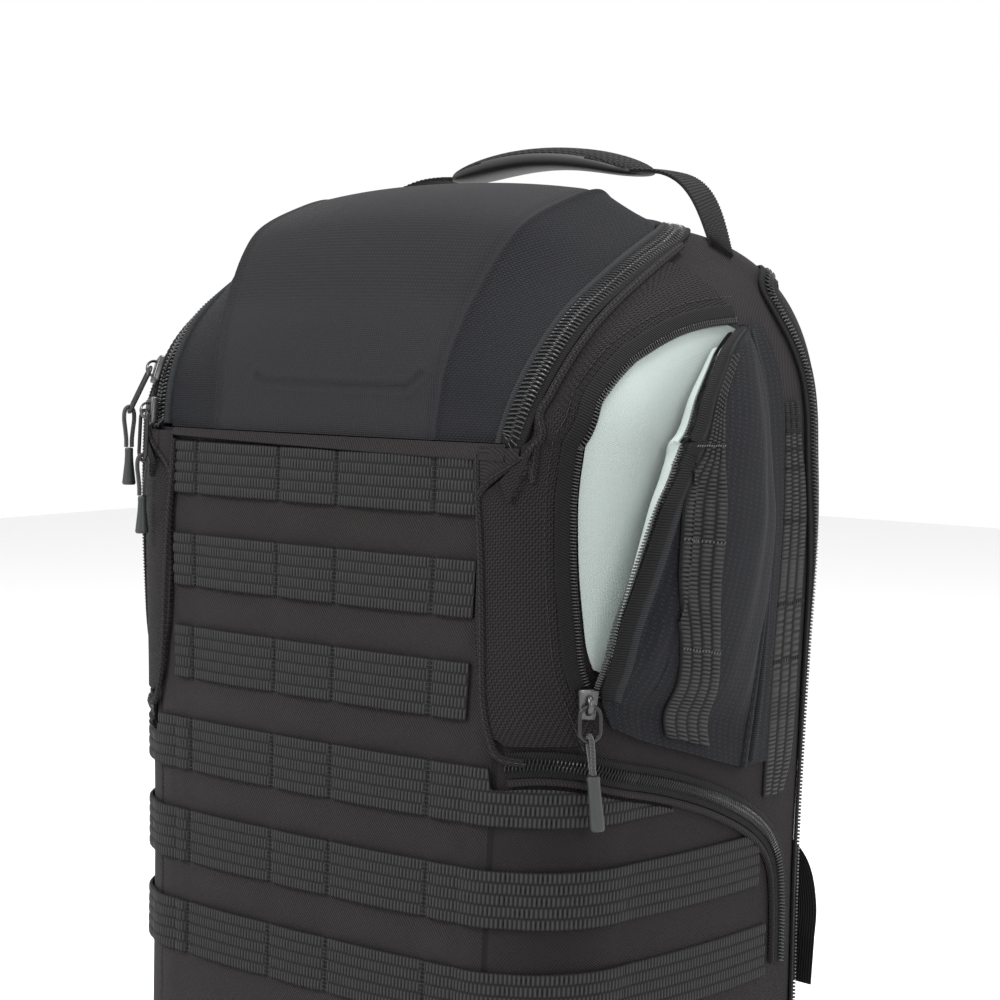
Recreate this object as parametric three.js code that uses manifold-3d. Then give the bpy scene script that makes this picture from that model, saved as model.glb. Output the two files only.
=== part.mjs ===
// A camera backpack with a moulded lid, rows of webbing and an open side pocket.
// Millimetres, +Z up, front towards -Y, standing on its base. The shape is worked
// out with the front of the lid's hinge at y = 0, and moved back to the origin last.

import * as THREE from 'three';
import { mergeVertices } from 'three/addons/utils/BufferGeometryUtils.js';
import Module from 'manifold-3d';

const wasm = await Module();
wasm.setup();

// Main form
const halfWidth = 151;
const bodyDepth = 185;
const hingeHeight = 346;
const frontLean = 0.04;
const frontCorner = 51;
const backCorner = 20;
const baseEdge = 22;
const frontCrown = 3;
const sideCrown = 4;
const lidRise = 115.5;
const lidReach = 118;
const originDepth = 85;

// Walls and layers
const clearance = 0.3;
const layerGap = 0.8;
const bodyWall = 5;
const lidWall = 2.5;
const panelWall = 2;
const liningWall = 0.8;
const clothWall = 1.6;
const basePad = 7;

// Webbing
const webbingWidth = 25;
const webbingWall = 1.5;
const webbingPitch = 44;
const webbingDrop = 6;
const webbingRows = 6;
const webbingShift = -4;
const narrowCell = 38.5;
const wideCell = 59.5;
const loopRise = 1.2;

// Zippers and pulls
const chainWidth = 5;
const chainRise = 2.4;
const tapeWall = 1;
const tapeReach = 5.5;
const doorPiping = 10.5;
const lidBand = 7.5;
const lidChain = 4.6;
const sliderLength = 13;
const sliderWidth = 9;
const sliderRise = 3.4;
const bridgeRise = 4.6;
const eyeHeight = 1.9;
const wireRadius = 0.9;
const wireLoopRadius = 4.6;
const cordDiameter = 2.2;
const cordEndRadius = 3.3;
const lidPullLift = 3.9;
const lidPullLengths = { wire: 26, cord: 17, end: 18 };
const pocketPullLengths = { wire: 17, cord: 14, end: 24 };

// Pocket, handle and harness
const pocketBulge = 20;
const gripHalf = 61;
const gripWidth = 30;
const gripThickness = 11;
const gripAboveLid = 14.5;
const gripFromBack = 28;
const gripSag = 9;
const legArch = 11;
const plateInset = 21;
const plateFoot = 40;
const plateAboveHinge = 88;
const plateThickness = 12;
const plateCorner = 38;
const padThickness = 9;
const strapWidth = 62;
const strapThickness = 10;
const strapStand = 20;

const gripTop = hingeHeight + lidRise + gripAboveLid;
const gripDepth = bodyDepth - gripFromBack;
const plateHalfWidth = halfWidth - plateInset;
const plateTop = hingeHeight + plateAboveHinge;

const charcoal = 0x322f30;
const slate = 0x33353b;
const jet = 0x1d1d1e;
const gunmetal = 0x5a5b5e;
const mist = 0xcdd7d4;

// Outline of the body at rising heights, as shares of the named sizes.
const bodySections = [
  { height: 0, width: 0.925, back: 0.965 },
  { height: 0.12, width: 0.935, back: 0.97 },
  { height: 0.45, width: 0.95, back: 0.975 },
  { height: 0.7, width: 0.975, back: 0.985 },
  { height: 0.92, width: 1, back: 1 },
  { height: 1, width: 1, back: 1 },
];

// Lid from the hinge to its rear edge: the middle line, the moulded crease and the rim.
// X is a share of halfWidth, y of lidReach and z of lidRise.
const lidSections = [
  { midY: -0.025, midZ: 0, creaseX: 0.483, creaseY: -0.012, creaseZ: 0, rimX: 0.755, rimY: 0.018, rimZ: 0 },
  { midY: -0.017, midZ: 0.121, creaseX: 0.483, creaseY: 0.013, creaseZ: 0.121, rimX: 0.768, rimY: 0.038, rimZ: 0.087 },
  { midY: 0, midZ: 0.277, creaseX: 0.497, creaseY: 0.034, creaseZ: 0.277, rimX: 0.788, rimY: 0.091, rimZ: 0.216 },
  { midY: 0.042, midZ: 0.45, creaseX: 0.517, creaseY: 0.085, creaseZ: 0.424, rimX: 0.805, rimY: 0.186, rimZ: 0.355 },
  { midY: 0.11, midZ: 0.606, creaseX: 0.536, creaseY: 0.148, creaseZ: 0.554, rimX: 0.811, rimY: 0.314, rimZ: 0.476 },
  { midY: 0.22, midZ: 0.779, creaseX: 0.56, creaseY: 0.246, creaseZ: 0.71, rimX: 0.811, rimY: 0.483, rimZ: 0.58 },
  { midY: 0.339, midZ: 0.883, creaseX: 0.576, creaseY: 0.356, creaseZ: 0.818, rimX: 0.808, rimY: 0.61, rimZ: 0.649 },
  { midY: 0.525, midZ: 0.965, creaseX: 0.583, creaseY: 0.534, creaseZ: 0.896, rimX: 0.798, rimY: 0.729, rimZ: 0.701 },
  { midY: 0.746, midZ: 1, creaseX: 0.583, creaseY: 0.746, creaseZ: 0.952, rimX: 0.785, rimY: 0.839, rimZ: 0.745 },
  { midY: 0.881, midZ: 0.952, creaseX: 0.57, creaseY: 0.864, creaseZ: 0.909, rimX: 0.765, rimY: 0.932, rimZ: 0.788 },
  { midY: 1, midZ: 0.84, creaseX: 0.543, creaseY: 1, creaseZ: 0.805, rimX: 0.715, rimY: 1.008, rimZ: 0.805 },
];

// Places round the body: 0 the front's middle, 1 its seam, 2 the end of the front
// corner, 3 the start of the back corner, 4 its end and 5 the middle of the back.
const hingeEnd = 1.18;
const lidCorner = 3.5;
const backMiddle = 5;
const creaseShare = 0.6;

// Right side pocket from the bottom up: its chain on the body, the seam round it,
// and the free panel's edge, fold and lift. The lift is a share of pocketBulge.
const pocketOutline = [
  { chainAt: 1.76, chainUp: 0.638, seamAt: 1.25, seamUp: 0.63 },
  { chainAt: 1.68, chainUp: 0.68, seamAt: 1.14, seamUp: 0.65 },
  { chainAt: 1.6, chainUp: 0.725, seamAt: 1.09, seamUp: 0.69 },
  { chainAt: 1.56, chainUp: 0.775, seamAt: 1.04, seamUp: 0.75 },
  { chainAt: 1.523, chainUp: 0.835, seamAt: 1.02, seamUp: 0.83 },
  { chainAt: 1.503, chainUp: 0.9, seamAt: 1.012, seamUp: 0.89 },
  { chainAt: 1.505, chainUp: 0.95, seamAt: 1.01, seamUp: 0.93 },
  { chainAt: 1.54, chainUp: 1.03, seamAt: 1.13, seamUp: 0.955 },
  { chainAt: 1.6, chainUp: 1.2, seamAt: 1.25, seamUp: null },
  { chainAt: 1.685, chainUp: 1.395, seamAt: 1.4, seamUp: null },
  { chainAt: 1.78, chainUp: 1.47, seamAt: 1.55, seamUp: null },
  { chainAt: 1.9, chainUp: 1.512, seamAt: 1.75, seamUp: null },
  { chainAt: 2.068, chainUp: 1.53, seamAt: 2, seamUp: null },
  { chainAt: 2.25, chainUp: 1.533, seamAt: 2.25, seamUp: null },
  { chainAt: 2.466, chainUp: 1.506, seamAt: 2.48, seamUp: null },
  { chainAt: 2.645, chainUp: 1.475, seamAt: 2.7, seamUp: null },
];

const pocketPanelRows = [
  { edgeAt: 1.8, edgeUp: 0.652, foldAt: 2.6, foldUp: 0.57, lift: 0 },
  { edgeAt: 1.73, edgeUp: 0.691, foldAt: 2.62, foldUp: 0.62, lift: 0.03 },
  { edgeAt: 1.724, edgeUp: 0.735, foldAt: 2.64, foldUp: 0.67, lift: 0.45 },
  { edgeAt: 1.731, edgeUp: 0.785, foldAt: 2.66, foldUp: 0.73, lift: 0.7 },
  { edgeAt: 1.765, edgeUp: 0.836, foldAt: 2.67, foldUp: 0.795, lift: 0.87 },
  { edgeAt: 1.839, edgeUp: 0.92, foldAt: 2.66, foldUp: 0.89, lift: 1 },
  { edgeAt: 1.915, edgeUp: 0.964, foldAt: 2.63, foldUp: 0.95, lift: 0.97 },
  { edgeAt: 2.021, edgeUp: 1.034, foldAt: 2.6, foldUp: 1.03, lift: 0.89 },
  { edgeAt: 2.125, edgeUp: 1.183, foldAt: 2.6, foldUp: 1.18, lift: 0.74 },
  { edgeAt: 2.268, edgeUp: 1.303, foldAt: 2.61, foldUp: 1.3, lift: 0.54 },
  { edgeAt: 2.374, edgeUp: 1.367, foldAt: 2.62, foldUp: 1.37, lift: 0.4 },
  { edgeAt: 2.58, edgeUp: 1.43, foldAt: 2.65, foldUp: 1.42, lift: 0.05 },
];

// The free panel from its fold to its free edge, and the lining inside it.
const panelCurve = [
  { way: 0, lift: 0 },
  { way: 0.1, lift: 0.45 },
  { way: 0.25, lift: 0.9 },
  { way: 0.45, lift: 1.08 },
  { way: 0.62, lift: 1.1 },
  { way: 0.82, lift: 1.05 },
  { way: 1, lift: 1 },
];
const liningCurve = [
  { way: 0.1, lift: 0.16 },
  { way: 0.25, lift: 0.55 },
  { way: 0.5, lift: 0.75 },
  { way: 0.75, lift: 0.6 },
  { way: 0.92, lift: 0.4 },
  { way: 0.96, lift: 0.5 },
  { way: 0.985, lift: 0.82 },
];

const doorZipperPath = [
  { at: 1.26, up: 0.605 },
  { at: 1.38, up: 0.608 },
  { at: 1.5, up: 0.608 },
  { at: 1.61, up: 0.605 },
  { at: 1.72, up: 0.6 },
  { at: 1.86, up: 0.591 },
  { at: 2.04, up: 0.58 },
  { at: 2.22, up: 0.564 },
  { at: 2.4, up: 0.544 },
  { at: 2.56, up: 0.522 },
  { at: 2.72, up: 0.495 },
  { at: 2.84, up: 0.465 },
  { at: 2.92, up: 0.425 },
  { at: 2.95, up: 0.37 },
  { at: 2.955, up: 0.29 },
];

const mainZipperPath = [
  { at: 3.36, up: 0.12 },
  { at: 3.39, up: 0.27 },
  { at: 3.394, up: 0.415 },
  { at: 3.391, up: 0.549 },
  { at: 3.35, up: 0.655 },
  { at: 3.33, up: 0.72 },
  { at: 3.26, up: 0.8 },
  { at: 3.17, up: 0.868 },
  { at: 3.08, up: 0.926 },
  { at: 3.03, up: 0.995 },
  { at: 3.01, up: 1.148 },
  { at: 2.995, up: 1.24 },
  { at: 2.985, up: 1.345 },
  { at: 2.985, up: 1.442 },
  { at: 3.02, up: 1.52 },
  { at: 3.15, up: 1.57 },
  { at: 3.4, up: 1.58 },
  { at: 3.8, up: 1.57 },
  { at: 4.4, up: 1.56 },
  { at: 5, up: 1.56 },
];

// Shoulder strap and its lower webbing on the right. X is a share of the back plate's
// half width, z of its top's height, stand of strapStand and width of strapWidth.
const strapRows = [
  { x: 0.354, z: 0.922, stand: 0, width: 0.9 },
  { x: 0.369, z: 0.876, stand: 0.32, width: 0.97 },
  { x: 0.415, z: 0.783, stand: 0.72, width: 1 },
  { x: 0.477, z: 0.668, stand: 0.97, width: 0.97 },
  { x: 0.523, z: 0.553, stand: 0.97, width: 0.87 },
  { x: 0.523, z: 0.461, stand: 0.87, width: 0.74 },
  { x: 0.492, z: 0.396, stand: 0.77, width: 0.55 },
];
const lowerStrapRows = [
  { x: 0.492, z: 0.378, stand: 0.92 },
  { x: 0.508, z: 0.355, stand: 0.97 },
  { x: 0.592, z: 0.332, stand: 0.97 },
  { x: 0.746, z: 0.313, stand: 0.82 },
  { x: 0.862, z: 0.295, stand: 0.57 },
  { x: 0.923, z: 0.263, stand: 0.27 },
  { x: 0.938, z: 0.23, stand: 0.045 },
  { x: 0.931, z: 0.18, stand: 0 },
];

// Pads on the right half of the back plate, as shares of its half width and height.
const backPadSides = { inner: 0.092, outer: 0.77, foot: 0.279, top: 0.843 };
const lumbarPadSides = { inner: -0.77, outer: 0.77, foot: 0.056, top: 0.254 };

// Where the handle's webbing is sewn to the body, at its rear and front edges
const legFoot = { rearAt: 3.14, rearUp: 1.75, frontAt: 3.2, frontUp: 1.86 };

// Value of a table's column at a place along it, on a smooth curve through the rows.
function smooth(rows, key, value, place) {
  const last = rows.length - 1;
  const t = Math.min(Math.max(place, rows[0][key]), rows[last][key]);
  let k = 0;
  while (k < last - 1 && t >= rows[k + 1][key]) k += 1;
  const rise = (i) => (rows[i + 1][value] - rows[i][value]) / (rows[i + 1][key] - rows[i][key]);
  const slope = (i) => {
    if (i === 0) return rise(0);
    if (i === last) return rise(last - 1);
    const before = rows[i][key] - rows[i - 1][key];
    const after = rows[i + 1][key] - rows[i][key];
    return (before * rise(i) + after * rise(i - 1)) / (before + after);
  };
  const h = rows[k + 1][key] - rows[k][key];
  const s = (t - rows[k][key]) / h;
  const s2 = s * s;
  const s3 = s2 * s;
  return (2 * s3 - 3 * s2 + 1) * rows[k][value] + (s3 - 2 * s2 + s) * h * slope(k)
    + (3 * s2 - 2 * s3) * rows[k + 1][value] + (s3 - s2) * h * slope(k + 1);
}

// The same, for a table whose rows are evenly spread from 0 to 1.
function along(rows, value, share) {
  const last = rows.length - 1;
  const spread = rows.map((row, i) => ({ key: i / last, value: row[value] }));
  return smooth(spread, 'key', 'value', share);
}

const lerp = (p, q, share) => p + (q - p) * share;
const vec = (x, y, z) => new THREE.Vector3(x, y, z);

function bodySection(where, z) {
  const at = where > backMiddle ? where - 2 * backMiddle : where;
  const side = at < 0 ? -1 : 1;
  const place = Math.abs(at);
  const height = z / hingeHeight;
  const inset = z < baseEdge ? baseEdge - Math.sqrt(Math.max(0, baseEdge ** 2 - (baseEdge - z) ** 2)) : 0;
  const wide = halfWidth * smooth(bodySections, 'height', 'width', height) - inset;
  const back = bodyDepth * smooth(bodySections, 'height', 'back', height) - inset;
  const front = -frontLean * (hingeHeight - z) + inset;
  const near = Math.max(4, frontCorner - inset);
  const far = Math.max(3, backCorner - inset);
  const turn = (place % 1) * Math.PI / 2;
  if (place <= 1) return vec(side * place * (wide - near), front - frontCrown * (1 - place ** 2), z);
  if (place < 2) {
    return vec(side * (wide - near + near * Math.sin(turn)), front + near - near * Math.cos(turn), z);
  }
  if (place < 3) {
    const way = place - 2;
    const swell = sideCrown * 4 * way * (1 - way);
    return vec(side * (wide + swell), lerp(front + near, back - far, way), z);
  }
  if (place < 4) {
    return vec(side * (wide - far + far * Math.cos(turn)), back - far + far * Math.sin(turn), z);
  }
  return vec(side * (backMiddle - place) * (wide - far), back, z);
}

// Lid surface: lengthwise from 0 at the hinge to 1 at the rear, across from -1 to 1.
function lidPoint(lengthwise, across) {
  const side = across < 0 ? -1 : 1;
  const out = Math.abs(across);
  const row = (value) => along(lidSections, value, lengthwise);
  const mid = vec(0, row('midY') * lidReach, hingeHeight + row('midZ') * lidRise);
  const crease = vec(row('creaseX') * halfWidth, row('creaseY') * lidReach, hingeHeight + row('creaseZ') * lidRise);
  if (out <= creaseShare) {
    const share = out / creaseShare;
    const bow = share ** 2.2;
    return vec(side * crease.x * share, lerp(mid.y, crease.y, bow), lerp(mid.z, crease.z, bow));
  }
  const rim = vec(row('rimX') * halfWidth, row('rimY') * lidReach, hingeHeight + row('rimZ') * lidRise);
  const point = crease.lerp(rim, (out - creaseShare) / (1 - creaseShare));
  point.x *= side;
  return point;
}

// Where the lid's rim meets the body.
function rimPoint(where) {
  const at = where > backMiddle ? where - 2 * backMiddle : where;
  const side = at < 0 ? -1 : 1;
  const place = Math.abs(at);
  if (place <= hingeEnd) return bodySection(at, hingeHeight);
  if (place <= lidCorner) return lidPoint((place - hingeEnd) / (lidCorner - hingeEnd), side);
  return lidPoint(1, side * (backMiddle - place) / (backMiddle - lidCorner));
}

// Body surface: up is 0 at the base, 1 at the height of the hinge and 2 at the rim.
function bodyPoint(at, up) {
  if (up <= 1) return bodySection(at, up * hingeHeight);
  const low = bodySection(at, hingeHeight);
  const top = rimPoint(at);
  const rise = top.z - low.z;
  const k = up - 1;
  const stand = vec(low.x, low.y, low.z + 0.62 * rise);
  const lean = vec(lerp(top.x, low.x, 0.62), lerp(top.y, low.y, 0.62), top.z - 0.08 * rise);
  return low.multiplyScalar((1 - k) ** 3)
    .addScaledVector(stand, 3 * (1 - k) ** 2 * k)
    .addScaledVector(lean, 3 * (1 - k) * k ** 2)
    .addScaledVector(top, k ** 3);
}

const probe = 0.002;

function bodySlopes(at, up) {
  const level = Math.abs(at) <= hingeEnd ? Math.min(up, 1) : up;
  const high = Math.min(level + probe, Math.abs(at) <= hingeEnd ? 1 : 2);
  const low = Math.max(high - 2 * probe, 0);
  const round = bodyPoint(at + probe, level).sub(bodyPoint(at - probe, level)).divideScalar(2 * probe);
  const rise = bodyPoint(at, high).sub(bodyPoint(at, low)).divideScalar(high - low);
  return { round, rise, out: round.clone().cross(rise).normalize() };
}

function onBody(at, up, lift) {
  return bodyPoint(at, up).addScaledVector(bodySlopes(at, up).out, lift);
}

function lidOut(lengthwise, across) {
  const front = Math.max(lengthwise - probe, 0);
  const rear = Math.min(lengthwise + probe, 1);
  const left = Math.max(across - probe, -1);
  const right = Math.min(across + probe, 1);
  const over = lidPoint(lengthwise, right).sub(lidPoint(lengthwise, left));
  return over.cross(lidPoint(rear, across).sub(lidPoint(front, across))).normalize();
}

// First value between near and far whose point lies the given distance from the start.
function reach(point, near, far, distance) {
  const start = point(near);
  let inside = near;
  let outside = far;
  for (let step = 0; step < 30; step += 1) {
    const middle = (inside + outside) / 2;
    if (point(middle).distanceTo(start) < distance) inside = middle;
    else outside = middle;
  }
  return (inside + outside) / 2;
}

const belowRim = (at, distance) => reach((up) => bodyPoint(at, up), 2, 0.5, distance);

// Point on the lid at a distance in from its rim, turning the corner smoothly.
function insideRim(at, distance) {
  const side = at < 0 ? -1 : 1;
  const place = Math.abs(at);
  const lengthwise = Math.min((place - hingeEnd) / (lidCorner - hingeEnd), 1);
  const across = Math.min((backMiddle - place) / (backMiddle - lidCorner), 1);
  const turn = THREE.MathUtils.smoothstep(place, lidCorner - 0.3, lidCorner + 0.3);
  const inward = reach((t) => lidPoint(lengthwise, side * t), across, 0, distance);
  const forward = reach((s) => lidPoint(s, side * across), lengthwise, 0, distance);
  const point = lidPoint(lengthwise, side * inward).lerp(lidPoint(forward, side * across), turn);
  return { point, out: lidOut(lerp(lengthwise, forward, turn), side * lerp(inward, across, turn)) };
}

// Closed meshes: three base shapes whose grid points are moved into place
function tidy(geometry) {
  geometry.deleteAttribute('normal');
  geometry.deleteAttribute('uv');
  const merged = mergeVertices(geometry, 1e-3);
  const index = merged.index.array;
  const kept = [];
  for (let k = 0; k < index.length; k += 3) {
    const [a, b, c] = [index[k], index[k + 1], index[k + 2]];
    if (a !== b && b !== c && c !== a) kept.push(a, b, c);
  }
  merged.setIndex(kept);
  return merged;
}

function moveAll(geometry, move) {
  const position = geometry.attributes.position;
  const point = new THREE.Vector3();
  for (let k = 0; k < position.count; k += 1) {
    point.fromBufferAttribute(position, k);
    const moved = move(point, k);
    position.setXYZ(k, moved.x, moved.y, moved.z);
  }
  return geometry;
}

// A plate of columns by rows. The layer is 0 on its inner face and 1 on its outer one.
function plate(columns, rows, place) {
  const box = new THREE.BoxGeometry(columns, rows, 1, columns, rows, 1);
  const move = (p) => place(Math.round(p.x + columns / 2), Math.round(p.y + rows / 2), Math.round(p.z + 0.5));
  return tidy(moveAll(box, move));
}

// A wall that runs all the way round, open at its top and bottom.
function ringWall(columns, rows, place) {
  const loops = 2 * rows + 2;
  const torus = new THREE.TorusGeometry(2, 1, loops, columns);
  return tidy(moveAll(torus, (p, k) => {
    const column = (k % (columns + 1)) % columns;
    const loop = Math.floor(k / (columns + 1)) % loops;
    return loop <= rows ? place(column, loop, 1) : place(column, loops - 1 - loop, 0);
  }));
}

// A closed skin of rings between two poles.
function closedSkin(columns, rings, place) {
  const sphere = new THREE.SphereGeometry(1, columns, rings);
  return tidy(moveAll(sphere, (p, k) => place((k % (columns + 1)) % columns, Math.floor(k / (columns + 1)))));
}

// Surface values of the place that lies a given step away from another on the body.
function beside(at, up, step) {
  const target = bodyPoint(at, up).add(step);
  let [nearAt, nearUp] = [at, up];
  for (let turn = 0; turn < 6; turn += 1) {
    const { round, rise } = bodySlopes(nearAt, nearUp);
    const left = target.clone().sub(bodyPoint(nearAt, nearUp));
    const [rr, ru, uu] = [round.dot(round), round.dot(rise), rise.dot(rise)];
    const [lr, lu] = [left.dot(round), left.dot(rise)];
    const whole = rr * uu - ru * ru;
    nearAt += (lr * uu - lu * ru) / whole;
    nearUp = Math.min(nearUp + (lu * rr - lr * ru) / whole, 2);
  }
  return [nearAt, nearUp];
}

// A strip on the body along a path, with a row of lows and highs across it.
function strip(path, steps, across, from = 0, to = 1) {
  const station = (share) => [along(path, 'at', share), along(path, 'up', share)];
  return plate(steps, across.length - 1, (i, j, layer) => {
    const share = lerp(from, to, i / steps);
    const [at, up] = station(share);
    const [nextAt, nextUp] = station(Math.min(share + probe, 1));
    const [lastAt, lastUp] = station(Math.max(share - probe, 0));
    const { round, rise, out } = bodySlopes(at, up);
    const forward = round.clone().multiplyScalar(nextAt - lastAt).addScaledVector(rise, nextUp - lastUp);
    const aside = out.clone().cross(forward).setLength(across[j].aside);
    const [asideAt, asideUp] = beside(at, up, aside);
    return onBody(asideAt, asideUp, layer ? across[j].high : across[j].low);
  });
}

// A plate laid on the body. The place gives its two surface values at each share.
function patch(columns, rows, low, high, place) {
  return plate(columns, rows, (i, j, layer) => {
    const [at, up] = place(i / columns, j / rows);
    return onBody(at, up, layer ? high : low);
  });
}

const pocketPlace = (from, to) => (i, j) => [
  lerp(from(j)[0], to(j)[0], i),
  lerp(from(j)[1], to(j)[1], i),
];

function joined(geometries) {
  const solids = geometries.map((geometry) => {
    const clean = tidy(geometry.index ? geometry : mergeVertices(geometry));
    return new wasm.Manifold(new wasm.Mesh({
      numProp: 3,
      vertProperties: new Float32Array(clean.attributes.position.array),
      triVerts: new Uint32Array(clean.index.array),
    }));
  });
  const mesh = solids.reduce((whole, solid) => whole.add(solid)).getMesh();
  const geometry = new THREE.BufferGeometry();
  geometry.setAttribute('position', new THREE.BufferAttribute(mesh.vertProperties, 3));
  geometry.setIndex(new THREE.BufferAttribute(mesh.triVerts, 1));
  return geometry;
}

function mirrored(geometry) {
  const copy = moveAll(geometry.clone(), (p) => vec(-p.x, p.y, p.z));
  const index = copy.index.array.slice();
  for (let k = 0; k < index.length; k += 3) {
    [index[k], index[k + 1]] = [index[k + 1], index[k]];
  }
  copy.setIndex([...index]);
  return copy;
}

const backpack = new THREE.Group();

function add(name, geometry, color, roughness, metalness = 0) {
  const material = new THREE.MeshStandardMaterial({ color, roughness, metalness });
  const mesh = new THREE.Mesh(geometry, material);
  mesh.name = name;
  mesh.position.set(0, -originDepth, 0);
  backpack.add(mesh);
}

const addCloth = (name, geometry) => add(name, geometry, charcoal, 0.85);
const addWebbing = (name, geometry) => add(name, geometry, jet, 0.7);
const addMetal = (name, geometry) => add(name, geometry, gunmetal, 0.35, 0.9);

function addPair(name, geometry, addOne) {
  addOne(`${name}_right`, geometry);
  addOne(`${name}_left`, mirrored(geometry));
}

// Columns round the body that all its walls share, from the front's middle to the back's
const frontColumns = [0, 0.4, 0.8, 1];
const sideColumnCount = 14;
const rearColumnCount = 3;
const halfColumns = [
  ...frontColumns,
  ...Array.from({ length: sideColumnCount + 1 }, (_, k) => lerp(hingeEnd, lidCorner, k / sideColumnCount)),
  ...Array.from({ length: rearColumnCount }, (_, k) => lerp(lidCorner, backMiddle, (k + 1) / rearColumnCount)),
];
const roundColumns = [...halfColumns, ...halfColumns.slice(1, -1).reverse().map((at) => -at)];

function bodyShell() {
  const low = baseEdge / hingeHeight;
  const levels = [low, 0.24, 0.45, 0.68, 0.9];
  const upper = [0, 0.25, 0.5, 0.78, 1];
  const rows = levels.length + upper.length - 1;
  return ringWall(roundColumns.length, rows, (column, row, layer) => {
    const at = roundColumns[column];
    const rim = Math.abs(at) <= hingeEnd ? 1 - clearance / hingeHeight : belowRim(at, clearance * 2);
    const start = Math.abs(at) <= hingeEnd ? 0.96 : 1;
    const up = row < levels.length ? levels[row] : lerp(start, rim, upper[row - levels.length]);
    return onBody(at, up, layer ? 0 : -bodyWall);
  });
}

// A shallow dish that closes the body below, with a rim as thick as its wall.
function basePanel() {
  const rim = baseEdge - clearance;
  const rings = [{ z: basePad, inner: true }, { z: rim, inner: true }, { z: rim }, { z: 8 }, { z: 0 }];
  const middle = vec(0, (bodySection(backMiddle, 0).y + bodySection(0, 0).y) / 2, 0);
  return closedSkin(roundColumns.length, rings.length + 1, (column, level) => {
    if (level === 0) return middle.clone().setZ(basePad);
    if (level > rings.length) return middle.clone();
    const { z, inner } = rings[level - 1];
    const point = bodySection(roundColumns[column], z);
    return inner ? point.add(middle.clone().setZ(z).sub(point).setLength(bodyWall)) : point;
  });
}

// The lid is a thin moulded shell that ends beside its zipper.
function lidShell() {
  const across = [-1, -0.8, -creaseShare, -0.3, 0, 0.3, creaseShare, 0.8, 1];
  const inset = lidBand + clearance;
  return plate(across.length - 1, sideColumnCount, (i, j, layer) => {
    const rear = reach((s) => lidPoint(s, across[i]), 1, 0, inset);
    const lengthwise = lerp(clearance / lidRise, rear, j / sideColumnCount);
    const side = Math.sign(across[i]);
    const edge = reach((t) => lidPoint(lengthwise, side * t), 1, 0, inset);
    const t = Math.abs(across[i]) === 1 ? side * edge : across[i] * (Math.abs(across[i]) > creaseShare ? edge : 1);
    const lift = layer ? 0 : -lidWall;
    return lidPoint(lengthwise, t).addScaledVector(lidOut(lengthwise, t), lift);
  });
}

// The lid's zipper band straddles the rim, on the body at one side and beside the lid.
function lidZipper() {
  const across = [
    { aside: -lidBand, low: layerGap, high: 2.4 },
    { aside: -lidChain, low: layerGap, high: 2 },
    { aside: -lidChain + 0.6, low: layerGap, high: 3.2 },
    { aside: lidChain - 0.6, low: layerGap, high: 3.2 },
    { aside: lidChain, low: -1.2, high: 1.6 },
    { aside: lidBand, low: -1.2, high: 1.2 },
  ];
  const half = halfColumns.filter((at) => at >= hingeEnd);
  const stations = [...half, ...half.slice(0, -1).reverse().map((at) => -at)];
  return plate(stations.length - 1, across.length - 1, (i, j, layer) => {
    const at = stations[i];
    const { aside, low, high } = across[j];
    const lift = layer ? high : low;
    if (aside < 0) return onBody(at, belowRim(at, -aside), lift);
    const { point, out } = insideRim(at, aside);
    return point.addScaledVector(out, lift);
  });
}

// The two lowest side rows and the fourth row end under the side door's zipper.
const webbingReach = [1, 1, 1, 2.22, 2.78, 2.84];
const doorEdge = (at) => {
  if (at <= 1) return hingeHeight;
  return smooth(doorZipperPath, 'at', 'up', at) * hingeHeight - doorPiping;
};

// Front webbing, sewn down at four columns so that the cells between them stand off a little
function frontWebbing(row) {
  const top = hingeHeight - webbingDrop - row * webbingPitch;
  const columns = [-narrowCell / 2 - wideCell, -narrowCell / 2, narrowCell / 2, narrowCell / 2 + wideCell];
  const seams = columns.map((x) => x + webbingShift);
  const flat = bodySection(1, top).x;
  const reachPast = webbingReach[row];
  const stitched = [-1, ...seams.map((x) => x / flat), 1];
  const stations = stitched.flatMap((at, k) => (k ? [(stitched[k - 1] + at) / 2, at] : [at]));
  const past = reachPast > 1 ? [...halfColumns.filter((at) => at > 1 && at < reachPast), reachPast] : [];
  const places = [...past.slice().reverse().map((at) => -at), ...stations, ...past];
  return plate(places.length - 1, 1, (i, j, layer) => {
    const at = places[i];
    const free = Math.abs(at) < 1 && !stitched.includes(at);
    const lift = clearance + (free ? loopRise : 0) + layer * webbingWall;
    const foot = top - webbingWidth;
    const head = Math.max(Math.min(top, doorEdge(Math.abs(at))), foot + webbingWall);
    return onBody(at, (j ? head : foot) / hingeHeight, lift);
  });
}

// Side pocket on the right: the panel round it, its lining and its free outer panel
const outlineChain = (share, inset) => [
  along(pocketOutline, 'chainAt', share) + inset,
  along(pocketOutline, 'chainUp', share) + inset * lerp(0.6, -0.9, share),
];
function outlineSeam(share) {
  const last = pocketOutline.length - 1;
  const rows = pocketOutline.map((row) => {
    const up = row.seamUp === null ? belowRim(row.seamAt, lidBand + 1) : row.seamUp;
    return { at: row.seamAt, up };
  });
  const k = Math.min(Math.round(share * last), last);
  return [rows[k].at, rows[k].up];
}

function gusset() {
  const rows = pocketOutline.length - 1;
  const place = pocketPlace((j) => outlineSeam(j), (j) => outlineChain(j, -0.01));
  return patch(4, rows, layerGap, clearance + panelWall, place);
}

const foldPlace = (share) => [
  along(pocketPanelRows, 'foldAt', share),
  along(pocketPanelRows, 'foldUp', share),
];

function pocketBack() {
  const place = pocketPlace((j) => outlineChain(j, 0.05), (j) => foldPlace(j));
  return patch(7, 10, layerGap, layerGap + liningWall, (i, j) => place(i * 0.99, lerp(0.1, 0.95, j)));
}

const panelFloor = 2;
const panelRows = 12;

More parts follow.
